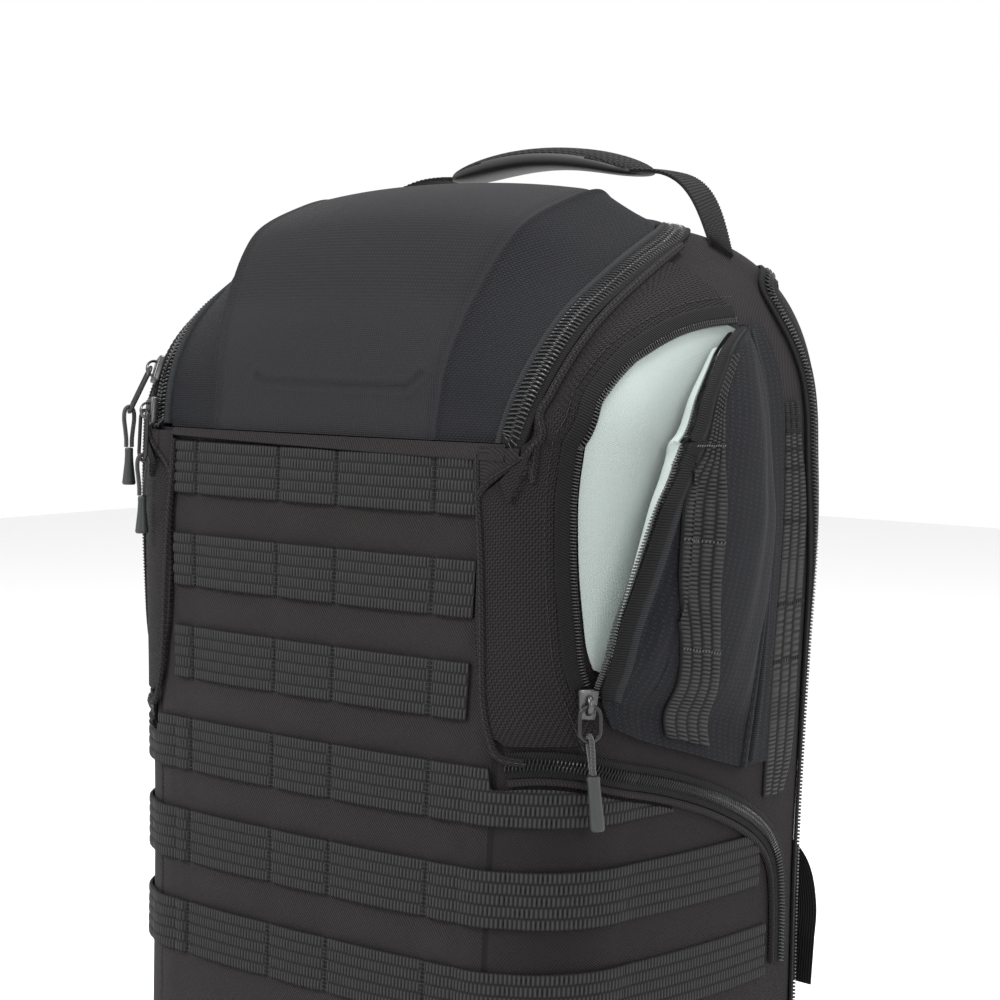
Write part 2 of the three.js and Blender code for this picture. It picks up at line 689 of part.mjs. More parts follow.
function onPanel(share, way, curve, lift) {
  const edgeAt = along(pocketPanelRows, 'edgeAt', share);
  const edgeUp = along(pocketPanelRows, 'edgeUp', share);
  const [foldAt, foldUp] = foldPlace(share);
  const swell = pocketBulge * along(pocketPanelRows, 'lift', share) * smooth(curve, 'way', 'lift', way);
  return onBody(lerp(foldAt, edgeAt, way), lerp(foldUp, edgeUp, way), panelFloor + swell + lift);
}

function panelSheet(columns, rows, from, to, curve, ways, low, high) {
  return plate(columns, rows, (i, j, layer) => {
    const share = lerp(from, to, j / rows);
    const way = lerp(ways[0], ways[1], i / columns);
    return onPanel(share, way, curve, layer ? high : low);
  });
}

function pocketPanel() {
  return panelSheet(8, panelRows, 0, 1, panelCurve, [1, 0], 0, clothWall);
}

function pocketPanelLining() {
  const ways = [0.985, 0.96, 0.92, 0.75, 0.5, 0.25, 0.1];
  const rows = 9;
  const face = (share, way) => onPanel(share, way, liningCurve, -layerGap / 2);
  return plate(ways.length - 1, rows, (i, j, layer) => {
    const share = lerp(0.2, 0.9, j / rows);
    const over = face(share, ways[i] + probe).sub(face(share, ways[i] - probe));
    const rise = face(share + probe, ways[i]).sub(face(share - probe, ways[i]));
    const inward = over.cross(rise).normalize();
    return face(share, ways[i]).addScaledVector(inward, layer ? 0 : liningWall);
  });
}

// The chain on the free edge: its tape lies on the panel and its teeth stand past it.
function freeChain() {
  const across = [
    { past: chainWidth * 0.7 + clearance, low: -0.4, high: 2 },
    { past: 3 * clearance, low: -0.4, high: 2.4 },
    { past: 2 * clearance, low: clothWall + clearance, high: clothWall + 1.6 },
    { past: -tapeReach, low: clothWall + clearance, high: clothWall + 1.3 },
  ];
  const firstRow = 1;
  return plate(across.length - 1, panelRows - firstRow, (i, j, layer) => {
    const share = Math.min(Math.max((j + firstRow) / panelRows, 0.145), 0.97);
    const edge = onPanel(share, 1, panelCurve, 0);
    const inner = onPanel(share, 0.9, panelCurve, 0);
    const way = 1 + across[i].past * 0.1 / edge.distanceTo(inner);
    return onPanel(share, way, panelCurve, layer ? across[i].high : across[i].low);
  });
}

const tapeLow = layerGap + panelWall + clearance;
const fixedChainAcross = [
  { aside: -chainWidth * 0.7, low: tapeLow - tapeWall, high: tapeLow + tapeWall },
  { aside: -clearance, low: tapeLow, high: tapeLow + tapeWall },
  { aside: tapeReach, low: tapeLow, high: tapeLow + tapeWall },
];
const closedChainAcross = [
  { aside: -tapeReach, low: tapeLow, high: tapeLow + tapeWall },
  { aside: -chainWidth / 2, low: tapeLow, high: tapeLow + chainRise },
  { aside: chainWidth / 2, low: tapeLow, high: tapeLow + chainRise },
  { aside: tapeReach, low: tapeLow, high: tapeLow + tapeWall },
];
const chainPath = pocketOutline.map((row) => ({ at: row.chainAt, up: row.chainUp }));

// The webbing stands upright on the slanted panel and runs in under its chain's tape.
const pocketWebbingRows = [
  { share: 0, front: 0.58, rear: 0.27 },
  { share: 0.18, front: 0.61, rear: 0.37 },
  { share: 0.28, front: 0.685, rear: 0.464 },
  { share: 0.4, front: 0.84, rear: 0.57 },
  { share: 0.54, front: 0.955, rear: 0.655 },
  { share: 0.67, front: 0.95, rear: 0.78 },
  { share: 0.85, front: 0.95, rear: 0.8 },
];
function pocketWebbing() {
  const columns = 3;
  const narrowest = 5;
  return plate(columns, 10, (i, j, layer) => {
    const share = Math.max(j / panelRows, 0.03);
    const edge = onPanel(share, 1, panelCurve, 0);
    const perLength = 0.1 / edge.distanceTo(onPanel(share, 0.9, panelCurve, 0));
    const tapeSide = 1 - (tapeReach + 2) * perLength;
    const front = Math.min(smooth(pocketWebbingRows, 'share', 'front', share), tapeSide);
    const rear = Math.min(smooth(pocketWebbingRows, 'share', 'rear', share), front - narrowest * perLength);
    const lift = clothWall + layerGap + 0.1 + layer * webbingWall;
    return onPanel(share, lerp(front, rear, i / columns), panelCurve, lift);
  });
}

function closedPocketPanel() {
  const place = pocketPlace((j) => outlineChain(j, 0.04), (j) => foldPlace(j));
  return patch(7, 9, layerGap, layerGap + clothWall, (i, j) => place(i * 0.985, lerp(0.02, 0.94, j)));
}

// Rear side panel behind the pocket's fold, and the narrow webbing on its edge
const sideWebbingEdge = 2.79;
function sidePanel() {
  const place = pocketPlace((j) => foldPlace(j), (j) => [sideWebbingEdge - 0.01, foldPlace(j)[1]]);
  return patch(2, 10, clearance, clearance + panelWall, (i, j) => place(lerp(0.1, 1, i), j));
}

const sideWebbingRows = [
  { rear: 2.94, up: 0.52 }, { rear: 3, up: 0.6 }, { rear: 2.98, up: 0.85 }, { rear: 2.96, up: 0.93 },
  { rear: 2.92, up: 1 }, { rear: 2.91, up: 1.1 },
];
function sideWebbing() {
  return patch(2, 9, clearance, clearance + webbingWall, (i, j) => [
    lerp(sideWebbingEdge, along(sideWebbingRows, 'rear', j), i),
    along(sideWebbingRows, 'up', j),
  ]);
}

const raisedChain = (rise) => [
  { aside: -tapeReach - 2, low: layerGap, high: rise },
  { aside: -chainWidth / 2, low: layerGap, high: layerGap + chainRise },
  { aside: chainWidth / 2, low: layerGap, high: layerGap + chainRise },
  { aside: tapeReach, low: layerGap, high: 1.7 },
];

function mainZipper() {
  const whole = [...mainZipperPath, ...mainZipperPath.slice(0, -1).reverse().map((row) => ({
    at: 2 * backMiddle - row.at, up: row.up,
  }))];
  const across = [
    { aside: -tapeReach, low: layerGap, high: 1.8 },
    { aside: -chainWidth / 2, low: layerGap, high: layerGap + chainRise },
    { aside: chainWidth / 2, low: layerGap, high: layerGap + chainRise },
    { aside: tapeReach, low: layerGap, high: 1.8 },
  ];
  return strip(whole, 40, across);
}

// Pulls: slider, wire loop, doubled cord and rubber end, hung from a place on a zipper
function sliderSolid() {
  const body = new THREE.BoxGeometry(sliderLength, sliderWidth, sliderRise, 1, 1, 1);
  moveAll(body, (p) => vec(p.x, p.y * (p.x > 0 ? 1 : 0.75), p.z + sliderRise / 2));
  const outline = new THREE.Shape();
  outline.moveTo(-4.6, -0.5);
  outline.lineTo(4.6, -0.5);
  outline.lineTo(4.6, bridgeRise - 1.4);
  outline.lineTo(3, bridgeRise);
  outline.lineTo(-3, bridgeRise);
  outline.lineTo(-4.6, bridgeRise - 1.4);
  const eye = new THREE.Path();
  eye.moveTo(-3.6, 0.3);
  eye.lineTo(3.6, 0.3);
  eye.lineTo(2.6, bridgeRise - 1);
  eye.lineTo(-2.6, bridgeRise - 1);
  outline.holes.push(eye);
  const bridge = new THREE.ExtrudeGeometry(outline, { depth: 2.6, bevelEnabled: false });
  bridge.translate(0, 0, -1.3);
  bridge.rotateX(Math.PI / 2);
  bridge.translate(0, 0, sliderRise);
  return joined([body, bridge]);
}

function framed(geometry, origin, x, z) {
  const side = z.clone().cross(x).normalize();
  const basis = new THREE.Matrix4().makeBasis(x.clone().normalize(), side, x.clone().normalize().cross(side));
  basis.setPosition(origin);
  return geometry.applyMatrix4(basis);
}

function wireLoop(length) {
  const torus = tidy(new THREE.TorusGeometry(wireLoopRadius, wireRadius, 5, 14));
  const stretch = length - 2 * (wireLoopRadius + wireRadius);
  return moveAll(torus, (p) => vec(p.x, p.y - (p.y < -0.01 ? stretch : 0), p.z));
}

// The cord rises from its rubber end on one side of the wire and returns on the other.
function cordRoute(reachDown) {
  const side = [
    [1.4, reachDown], [1.4, reachDown * 0.8], [1.9, reachDown * 0.5], [2.5, 3], [2.4, 0.6], [1.5, -1.8],
  ];
  const points = [...side, [0, -2.6], ...side.map(([n, d]) => [-n, d]).reverse()];
  return points.map(([n, d]) => vec(0, -d, n));
}

function cordTube(route) {
  const curve = new THREE.CatmullRomCurve3(route);
  const section = new THREE.Shape();
  section.absarc(0, 0, cordDiameter / 2, 0, 2 * Math.PI, false);
  const tube = new THREE.ExtrudeGeometry(section, { steps: 11, curveSegments: 4, extrudePath: curve });
  return tidy(tube);
}

function cordEnd(length) {
  const r = cordEndRadius;
  const profile = [[0, 0], [r * 0.75, 0], [r, 1.2], [r * 0.8, length * 0.3], [r * 0.95, length - 1.5], [r * 0.6, length]];
  const points = [...profile, [0, length]].map(([x, y]) => new THREE.Vector2(x, -y));
  return tidy(new THREE.LatheGeometry(points.reverse(), 8));
}

// A pull hangs from its slider's eye: the wire loop down one way and the cord another.
function addPull(name, slider, pull) {
  const bar = slider.out.clone().cross(slider.along).normalize();
  const hang = (geometry, point, down) => {
    const up = down.clone().normalize().negate();
    const side = bar.clone().addScaledVector(up, -bar.dot(up)).normalize();
    const basis = new THREE.Matrix4().makeBasis(side, up, side.clone().cross(up));
    return geometry.applyMatrix4(basis.setPosition(point));
  };
  const eye = slider.point.clone().addScaledVector(slider.out, sliderRise + eyeHeight);
  const wireDown = pull.down.clone().normalize();
  const centre = eye.clone().addScaledVector(wireDown, wireLoopRadius);
  const foot = eye.clone().addScaledVector(wireDown, pull.wire - 2 * wireRadius);
  addMetal(`${name}_slider`, framed(sliderSolid(), slider.point, slider.along, slider.out));
  add(`${name}_wire`, hang(wireLoop(pull.wire), centre, wireDown), jet, 0.4, 0.6);
  add(`${name}_cord`, hang(cordTube(cordRoute(pull.cord)), foot, pull.cordDown), jet, 0.8);
  const end = cordEnd(pull.end);
  end.translate(0, -pull.cord - clearance, 0);
  add(`${name}_cord_end`, hang(end, foot, pull.cordDown), jet, 0.6);
}

function addPocketPull() {
  const { rise, out } = bodySlopes(1.65, 0.684);
  const slider = { point: onBody(1.65, 0.684, panelFloor + clothWall + 2 * clearance), along: rise.normalize(), out };
  const cordDown = vec(0.1, 0.02, -1);
  addPull('pocket_pull', slider, { down: vec(0, 0, -1), cordDown, ...pocketPullLengths });
}

function addLidPulls() {
  const pulls = [
    { name: 'lid_pull_upper', at: -1.64, down: vec(-0.36, -0.34, -1) },
    { name: 'lid_pull_lower', at: -1.33, down: vec(-0.03, -0.05, -1) },
  ];
  const cordDown = vec(0, -0.02, -1);
  for (const { name, at, down } of pulls) {
    const out = bodySlopes(at, 1.97).out;
    const ahead = rimPoint(at - 0.05).sub(rimPoint(at + 0.05)).normalize();
    const point = rimPoint(at).addScaledVector(out, lidPullLift);
    addPull(name, { point, along: ahead, out }, { down, cordDown, ...lidPullLengths });
  }
}

// Carry handle: a padded grip between two twisted legs of webbing
function handleGrip() {
  const columns = 12;
  const edges = [-1, -0.6, 0, 0.6, 1];
  return plate(columns, edges.length - 1, (i, j, layer) => {
    const share = (2 * i) / columns - 1;
    const taper = 1 - 0.55 * share ** 4;
    const half = (gripThickness / 2) * taper * Math.sqrt(1.08 - edges[j] ** 2);
    const x = gripHalf * share;
    const z = gripTop - gripSag * share ** 2 + (layer ? half : -half);
    return vec(x, gripDepth + (edges[j] * gripWidth) / 2, z);
  });
}

// A leg leaves the grip's end flat, arches out and is sewn down on the body.
function handleLeg() {
  const end = gripHalf + 2 * clearance;
  const gripEnd = (side) => vec(end, gripDepth + side * gripWidth * 0.47, gripTop - gripSag);
  const footRear = onBody(legFoot.rearAt, legFoot.rearUp, clearance);
  const footFront = onBody(legFoot.frontAt, legFoot.frontUp, clearance);
  const edge = (start, foot, way) => {
    const arch = Math.sin(Math.PI * way);
    return start.lerp(foot, way).add(vec(0, 0.7 * legArch * arch, legArch * arch));
  };
  const rear = (k) => edge(gripEnd(1), footRear, 1 - (1 - k) ** 1.3);
  const front = (k) => edge(gripEnd(-1), footFront, 1 - (1 - k) ** 2);
  const middle = (k) => rear(k).lerp(front(k), 0.5);
  const steps = 12;
  return plate(steps, 1, (i, j, layer) => {
    const k = i / steps;
    const ahead = middle(Math.min(k + probe, 1)).sub(middle(Math.max(k - probe, 0)));
    const out = ahead.cross(rear(k).sub(front(k))).normalize();
    return (j ? rear(k) : front(k)).addScaledVector(out, layer * webbingWall);
  });
}

// Back plate and its pads. The plate leans with the back of the body.
const plateFace = (z) => bodyDepth + 0.9 + (z - 0.92 * hingeHeight) * 0.014;

function backPlate() {
  const outline = new THREE.Shape();
  const r = plateCorner;
  const low = plateCorner / 2;
  outline.absarc(plateHalfWidth - r, plateTop - r, r, 0, Math.PI / 2, false);
  outline.absarc(r - plateHalfWidth, plateTop - r, r, Math.PI / 2, Math.PI, false);
  outline.absarc(low - plateHalfWidth, plateFoot + low, low, Math.PI, 1.5 * Math.PI, false);
  outline.absarc(plateHalfWidth - low, plateFoot + low, low, 1.5 * Math.PI, 2 * Math.PI, false);
  const bevel = 2.5;
  const solid = new THREE.ExtrudeGeometry(outline, {
    depth: plateThickness - 2 * bevel, curveSegments: 3, bevelThickness: bevel, bevelSize: bevel,
    bevelOffset: -bevel, bevelSegments: 1,
  });
  return tidy(moveAll(solid, (p) => vec(-p.x, plateFace(p.y) + p.z + bevel, p.y)));
}

function backPad(sides) {
  const edges = [0, 0.12, 0.5, 0.88, 1];
  const count = edges.length - 1;
  return plate(count, count, (i, j, layer) => {
    const across = edges[i];
    const up = edges[j];
    const rim = Math.min(across, 1 - across, up, 1 - up);
    const corner = rim === 0 && (up === across || up === 1 - across);
    const round = (share) => 0.5 + (share - 0.5) * (corner ? 0.93 : 1);
    const rise = rim === 0 ? 0.35 : rim < 0.2 ? 0.85 : 1;
    const x = plateHalfWidth * lerp(sides.outer, sides.inner, round(across));
    const z = lerp(plateFoot, plateTop, lerp(sides.foot, sides.top, round(up)));
    return vec(x, plateFace(z) + plateThickness + clearance + layer * padThickness * rise, z);
  });
}

function ribbon(rows, steps, half, thickness) {
  const centre = (k) => {
    const z = along(rows, 'z', k) * plateTop;
    const stand = plateThickness + 2 * clearance + strapStand * along(rows, 'stand', k);
    return vec(plateHalfWidth * along(rows, 'x', k), plateFace(z) + stand, z);
  };
  return plate(steps, 2, (i, j, layer) => {
    const k = i / steps;
    const ahead = centre(Math.min(k + 0.01, 1)).sub(centre(Math.max(k - 0.01, 0))).normalize();
    const across = ahead.clone().cross(vec(0, 1, 0)).normalize();
    const out = across.clone().cross(ahead).normalize();
    const rim = j === 1 ? 1 : 0.6;
    const lift = layer ? thickness * (0.5 + 0.5 * rim) : thickness * (0.5 - 0.5 * rim);
    return centre(k).addScaledVector(across, (1 - j) * half(k)).addScaledVector(out, lift);
  });
}

const strapHalf = (k) => (strapWidth * along(strapRows, 'width', k)) / 2;

function buildBackpack() {
  addCloth('body_shell', bodyShell());
  addCloth('base_panel', basePanel());
  add('lid_shell', lidShell(), slate, 0.75);
  addWebbing('lid_zipper', lidZipper());
  for (let row = 0; row < webbingRows; row += 1) addWebbing(`front_webbing_${row + 1}`, frontWebbing(row));
  addPair('gusset', gusset(), addCloth);
  add('pocket_lining', pocketBack(), mist, 0.6);
  add('pocket_panel', pocketPanel(), slate, 0.75);
  add('pocket_panel_lining', pocketPanelLining(), mist, 0.6);
  addWebbing('pocket_chain_fixed', strip(chainPath, 15, fixedChainAcross, 0.105, 0.99));
  addWebbing('pocket_chain_free', freeChain());
  addWebbing('pocket_webbing', pocketWebbing());
  add('closed_pocket_panel', mirrored(closedPocketPanel()), slate, 0.75);
  addWebbing('closed_pocket_chain', mirrored(strip(chainPath, 15, closedChainAcross, 0.1, 0.97)));
  addPair('side_panel', sidePanel(), addCloth);
  addPair('side_webbing', sideWebbing(), addWebbing);
  addPair('door_zipper', strip(doorZipperPath, 16, raisedChain(2.6)), addWebbing);
  addWebbing('main_zipper', mainZipper());
  addPocketPull();
  addLidPulls();
  add('handle_grip', handleGrip(), charcoal, 0.55);
  addPair('handle_webbing', handleLeg(), addWebbing);
  addCloth('back_plate', backPlate());
  addPair('back_pad', backPad(backPadSides), addCloth);
  addCloth('lumbar_pad', backPad(lumbarPadSides));
  addPair('shoulder_strap', ribbon(strapRows, 12, strapHalf, strapThickness), addCloth);
  addPair('lower_strap', ribbon(lowerStrapRows, 10, () => webbingWidth / 2, webbingWall), addWebbing);
}

buildBackpack();

export default backpack;
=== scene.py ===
import math

import bpy
import numpy as np
from mathutils import Matrix, Vector


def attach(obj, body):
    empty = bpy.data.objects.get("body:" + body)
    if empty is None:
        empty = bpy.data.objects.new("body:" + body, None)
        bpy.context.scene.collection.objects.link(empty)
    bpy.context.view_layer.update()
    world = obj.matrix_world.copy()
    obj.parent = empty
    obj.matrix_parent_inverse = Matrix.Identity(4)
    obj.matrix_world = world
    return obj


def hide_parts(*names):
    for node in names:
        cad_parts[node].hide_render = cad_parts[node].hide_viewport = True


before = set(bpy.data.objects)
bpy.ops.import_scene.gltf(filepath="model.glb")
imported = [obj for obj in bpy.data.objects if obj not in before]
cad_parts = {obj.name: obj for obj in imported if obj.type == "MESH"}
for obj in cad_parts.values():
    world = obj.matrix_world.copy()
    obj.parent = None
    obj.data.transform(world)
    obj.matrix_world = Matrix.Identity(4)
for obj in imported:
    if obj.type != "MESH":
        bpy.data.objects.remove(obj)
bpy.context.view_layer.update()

# The form of the bag in millimetres, with the front of the lid's hinge at y = 0
form = {
    "halfWidth": 151, "bodyDepth": 185, "hingeHeight": 346, "frontLean": 0.04,
    "frontCorner": 51, "backCorner": 20, "baseEdge": 22, "frontCrown": 3, "sideCrown": 4,
    "lidRise": 115.5, "lidReach": 118, "originDepth": 85,
    "hingeEnd": 1.18, "lidCorner": 3.5, "backMiddle": 5, "creaseShare": 0.6, "lidBand": 7.5,
}

# Outline of the body at rising heights, as shares of the sizes above
bodyOutline = {
    "height": [0, 0.12, 0.45, 0.7, 0.92, 1],
    "width": [0.925, 0.935, 0.95, 0.975, 1, 1],
    "back": [0.965, 0.97, 0.975, 0.985, 1, 1],
}

# The lid from its hinge to its rear edge: middle line, moulded crease and rim
lidShape = {
    "midY": [-0.025, -0.017, 0, 0.042, 0.11, 0.22, 0.339, 0.525, 0.746, 0.881, 1],
    "midZ": [0, 0.121, 0.277, 0.45, 0.606, 0.779, 0.883, 0.965, 1, 0.952, 0.84],
    "creaseX": [0.483, 0.483, 0.497, 0.517, 0.536, 0.56, 0.576, 0.583, 0.583, 0.57, 0.543],
    "creaseY": [-0.012, 0.013, 0.034, 0.085, 0.148, 0.246, 0.356, 0.534, 0.746, 0.864, 1],
    "creaseZ": [0, 0.121, 0.277, 0.424, 0.554, 0.71, 0.818, 0.896, 0.952, 0.909, 0.805],
    "rimX": [0.755, 0.768, 0.788, 0.805, 0.811, 0.811, 0.808, 0.798, 0.785, 0.765, 0.715],
    "rimY": [0.018, 0.038, 0.091, 0.186, 0.314, 0.483, 0.61, 0.729, 0.839, 0.932, 1.008],
    "rimZ": [0, 0.087, 0.216, 0.355, 0.476, 0.58, 0.649, 0.701, 0.745, 0.788, 0.805],
}

# Open side pocket from the bottom up: chain on the body and the seam round it.
# A seam height of None means the lower edge of the lid's zipper.
pocketOutline = {
    "chainAt": [1.76, 1.68, 1.6, 1.56, 1.523, 1.503, 1.505, 1.54, 1.6, 1.685, 1.78, 1.9, 2.068, 2.25, 2.466,
                2.645],
    "chainUp": [0.638, 0.68, 0.725, 0.775, 0.835, 0.9, 0.95, 1.03, 1.2, 1.395, 1.47, 1.512, 1.53, 1.533,
                1.506, 1.475],
    "seamAt": [1.25, 1.14, 1.09, 1.04, 1.02, 1.012, 1.01, 1.13, 1.25, 1.4, 1.55, 1.75, 2, 2.25, 2.48, 2.7],
    "seamUp": [0.63, 0.65, 0.69, 0.75, 0.83, 0.89, 0.93, 0.955, None, None, None, None, None, None, None,
               None],
}
pocketPanelRows = {
    "edgeAt": [1.8, 1.73, 1.724, 1.731, 1.765, 1.839, 1.915, 2.021, 2.125, 2.268, 2.374, 2.58],
    "edgeUp": [0.652, 0.691, 0.735, 0.785, 0.836, 0.92, 0.964, 1.034, 1.183, 1.303, 1.367, 1.43],
    "foldAt": [2.6, 2.62, 2.64, 2.66, 2.67, 2.66, 2.63, 2.6, 2.6, 2.61, 2.62, 2.65],
    "foldUp": [0.57, 0.62, 0.67, 0.73, 0.795, 0.89, 0.95, 1.03, 1.18, 1.3, 1.37, 1.42],
    "lift": [0, 0.03, 0.45, 0.7, 0.87, 1, 0.97, 0.89, 0.74, 0.54, 0.4, 0.05],
}
panelCurve = {"way": [0, 0.1, 0.25, 0.45, 0.62, 0.82, 1], "lift": [0, 0.45, 0.9, 1.08, 1.1, 1.05, 1]}
liningCurve = {
    "way": [0.1, 0.25, 0.5, 0.75, 0.92, 0.96, 0.985],
    "lift": [0.16, 0.55, 0.75, 0.6, 0.4, 0.5, 0.82],
}

doorPath = {
    "at": [1.26, 1.38, 1.5, 1.61, 1.72, 1.86, 2.04, 2.22, 2.4, 2.56, 2.72, 2.84, 2.92, 2.95, 2.955],
    "up": [0.605, 0.608, 0.608, 0.605, 0.6, 0.591, 0.58, 0.564, 0.544, 0.522, 0.495, 0.465, 0.425,
           0.37, 0.29],
}
mainPath = {
    "at": [3.36, 3.39, 3.394, 3.391, 3.35, 3.33, 3.26, 3.17, 3.08, 3.03, 3.01, 2.995, 2.985, 2.985, 3.02,
           3.15, 3.4, 3.8, 4.4, 5],
    "up": [0.12, 0.27, 0.415, 0.549, 0.655, 0.72, 0.8, 0.868, 0.926, 0.995, 1.148, 1.24, 1.345, 1.442, 1.52,
           1.57, 1.58, 1.57, 1.56, 1.56],
}


def vec(x, y, z):
    return np.stack(np.broadcast_arrays(x, y, z), -1).astype(float)


def unit(v):
    return v / np.maximum(np.linalg.norm(v, axis=-1, keepdims=True), 1e-12)


def dot(a, b):
    return (a * b).sum(-1)


def lerp(a, b, share):
    return a + (b - a) * share


def ease(low, high, x):
    t = np.clip((np.asarray(x, float) - low) / (high - low), 0, 1)
    return t * t * (3 - 2 * t)


def smooth(keys, values, t):  # a smooth curve through a table's rows
    keys, values = np.asarray(keys, float), np.asarray(values, float)
    t = np.clip(t, keys[0], keys[-1])
    k = np.clip(np.searchsorted(keys, t, side="right") - 1, 0, len(keys) - 2)
    steps = np.diff(keys)
    rises = np.diff(values) / steps
    inner = (steps[:-1] * rises[1:] + steps[1:] * rises[:-1]) / (steps[:-1] + steps[1:])
    slopes = np.concatenate([rises[:1], inner, rises[-1:]])
    h = steps[k]
    s = (t - keys[k]) / h
    return ((2 * s**3 - 3 * s**2 + 1) * values[k] + (s**3 - 2 * s**2 + s) * h * slopes[k]
            + (3 * s**2 - 2 * s**3) * values[k + 1] + (s**3 - s**2) * h * slopes[k + 1])


def along(values, share):
    return smooth(np.linspace(0, 1, len(values)), values, share)


def evened(values, width=30):  # the same values with their kinks rounded off
    kernel = np.exp(-np.linspace(-2, 2, 2 * width + 1)**2)
    before, after = 2 * values[0] - values[width:0:-1], 2 * values[-1] - values[-2:-width - 2:-1]
    return np.convolve(np.concatenate([before, values, after]), kernel / kernel.sum(), "valid")


def ripple(x, y, seed=0):  # a soft, fixed unevenness between -1 and 1
    return (np.sin(x * 1.0 + 1.7 * np.sin(y * 0.7 + seed) + seed * 2.1)
            + np.sin(y * 1.3 + 1.3 * np.sin(x * 0.6 + seed * 1.7) + seed)
            + np.sin((x + y) * 0.8 + seed * 3.3)) / 3


# Places round the body: 0 the front's middle, 1 its seam, 2 the end of the front corner,
# 3 the start of the back corner, 4 its end and 5 the middle of the back
def bodySection(where, z):
    where, z = np.broadcast_arrays(np.asarray(where, float), np.asarray(z, float))
    at = np.where(where > form["backMiddle"], where - 2 * form["backMiddle"], where)
    side = np.where(at < 0, -1.0, 1.0)
    place = np.abs(at)
    height = z / form["hingeHeight"]
    edge = form["baseEdge"]
    inset = np.where(z < edge, edge - np.sqrt(np.maximum(0, edge**2 - (edge - z)**2)), 0)
    wide = form["halfWidth"] * smooth(bodyOutline["height"], bodyOutline["width"], height) - inset
    back = form["bodyDepth"] * smooth(bodyOutline["height"], bodyOutline["back"], height) - inset
    front = -form["frontLean"] * (form["hingeHeight"] - z) + inset
    near = np.maximum(4, form["frontCorner"] - inset)
    far = np.maximum(3, form["backCorner"] - inset)
    turn = (place % 1) * math.pi / 2
    way = place - 2
    swell = form["sideCrown"] * 4 * way * (1 - way)
    parts = [place <= 1, place < 2, place < 3, place < 4]
    x = np.select(parts, [place * (wide - near), wide - near + near * np.sin(turn), wide + swell,
                          wide - far + far * np.cos(turn)], (5 - place) * (wide - far))
    y = np.select(parts, [front - form["frontCrown"] * (1 - place**2), front + near - near * np.cos(turn),
                          lerp(front + near, back - far, way), back - far + far * np.sin(turn)], back)
    return vec(side * x, y, z)


def lidPoint(lengthwise, across):
    lengthwise, across = np.broadcast_arrays(np.asarray(lengthwise, float), np.asarray(across, float))
    side = np.where(across < 0, -1.0, 1.0)
    out = np.abs(across)
    row = {key: along(values, lengthwise) for key, values in lidShape.items()}
    rise, depth, half, top = form["lidRise"], form["lidReach"], form["halfWidth"], form["hingeHeight"]
    share = np.minimum(out / form["creaseShare"], 1)
    bow = share**2.2
    past = np.clip((out - form["creaseShare"]) / (1 - form["creaseShare"]), 0, 1)
    x = lerp(row["creaseX"] * share, row["rimX"], past) * half
    y = lerp(lerp(row["midY"], row["creaseY"], bow), row["rimY"], past) * depth
    z = lerp(lerp(row["midZ"], row["creaseZ"], bow), row["rimZ"], past) * rise + top
    return vec(side * x, y, z)


def rimPoint(where):
    at = np.where(where > form["backMiddle"], where - 2 * form["backMiddle"], where)
    side = np.where(at < 0, -1.0, 1.0)
    place = np.abs(at)
    hinge, corner = form["hingeEnd"], form["lidCorner"]
    low = bodySection(at, form["hingeHeight"])
    sides = lidPoint(np.clip((place - hinge) / (corner - hinge), 0, 1), side)
    rear = lidPoint(1.0, side * np.clip((form["backMiddle"] - place) / (form["backMiddle"] - corner), 0, 1))
    return np.where((place <= hinge)[..., None], low, np.where((place <= corner)[..., None], sides, rear))


def bodyPoint(at, up):  # up is 0 at the base, 1 at the hinge's height and 2 at the rim
    at, up = np.broadcast_arrays(np.asarray(at, float), np.asarray(up, float))
    straight = bodySection(at, np.clip(up, 0, 1) * form["hingeHeight"])
    low = bodySection(at, form["hingeHeight"])
    top = rimPoint(at)
    rise = top[..., 2] - low[..., 2]
    k = np.clip(up - 1, 0, None)[..., None]
    stand = vec(low[..., 0], low[..., 1], low[..., 2] + 0.62 * rise)
    lean = vec(lerp(top[..., 0], low[..., 0], 0.62), lerp(top[..., 1], low[..., 1], 0.62),
               top[..., 2] - 0.08 * rise)
    bent = low * (1 - k)**3 + stand * 3 * (1 - k)**2 * k + lean * 3 * (1 - k) * k**2 + top * k**3
    return np.where((up <= 1)[..., None], straight, bent)


probe = 0.002


def bodySlopes(at, up):
    at, up = np.broadcast_arrays(np.asarray(at, float), np.asarray(up, float))
    fromFront = np.where(at > form["backMiddle"], 2 * form["backMiddle"] - at, np.abs(at))
    onFront = fromFront <= form["hingeEnd"]
    level = np.where(onFront, np.minimum(up, 1), up)
    high = np.minimum(level + probe, np.where(onFront, 1, 2))
    low = np.maximum(high - 2 * probe, 0)
    around = (bodyPoint(at + probe, level) - bodyPoint(at - probe, level)) / (2 * probe)
    rise = (bodyPoint(at, high) - bodyPoint(at, low)) / (high - low)[..., None]
    return around, rise, unit(np.cross(around, rise))


def onBody(at, up, lift):
    lift = np.asarray(lift, float)
    return bodyPoint(at, up) + bodySlopes(at, up)[2] * lift[..., None]


def lidOut(lengthwise, across):
    over = (lidPoint(lengthwise, np.minimum(across + probe, 1))
            - lidPoint(lengthwise, np.maximum(across - probe, -1)))
    back = (lidPoint(np.minimum(lengthwise + probe, 1), across)
            - lidPoint(np.maximum(lengthwise - probe, 0), across))
    return unit(np.cross(over, back))


def reach(point, near, far, distance):  # first place that far from the near one
    start = point(near)
    inside = near + 0 * start[..., 0]
    outside = far + 0 * start[..., 0]
    for _ in range(24):
        middle = (inside + outside) / 2
        short = np.linalg.norm(point(middle) - start, axis=-1) < distance
        inside = np.where(short, middle, inside)
        outside = np.where(short, outside, middle)
    return (inside + outside) / 2


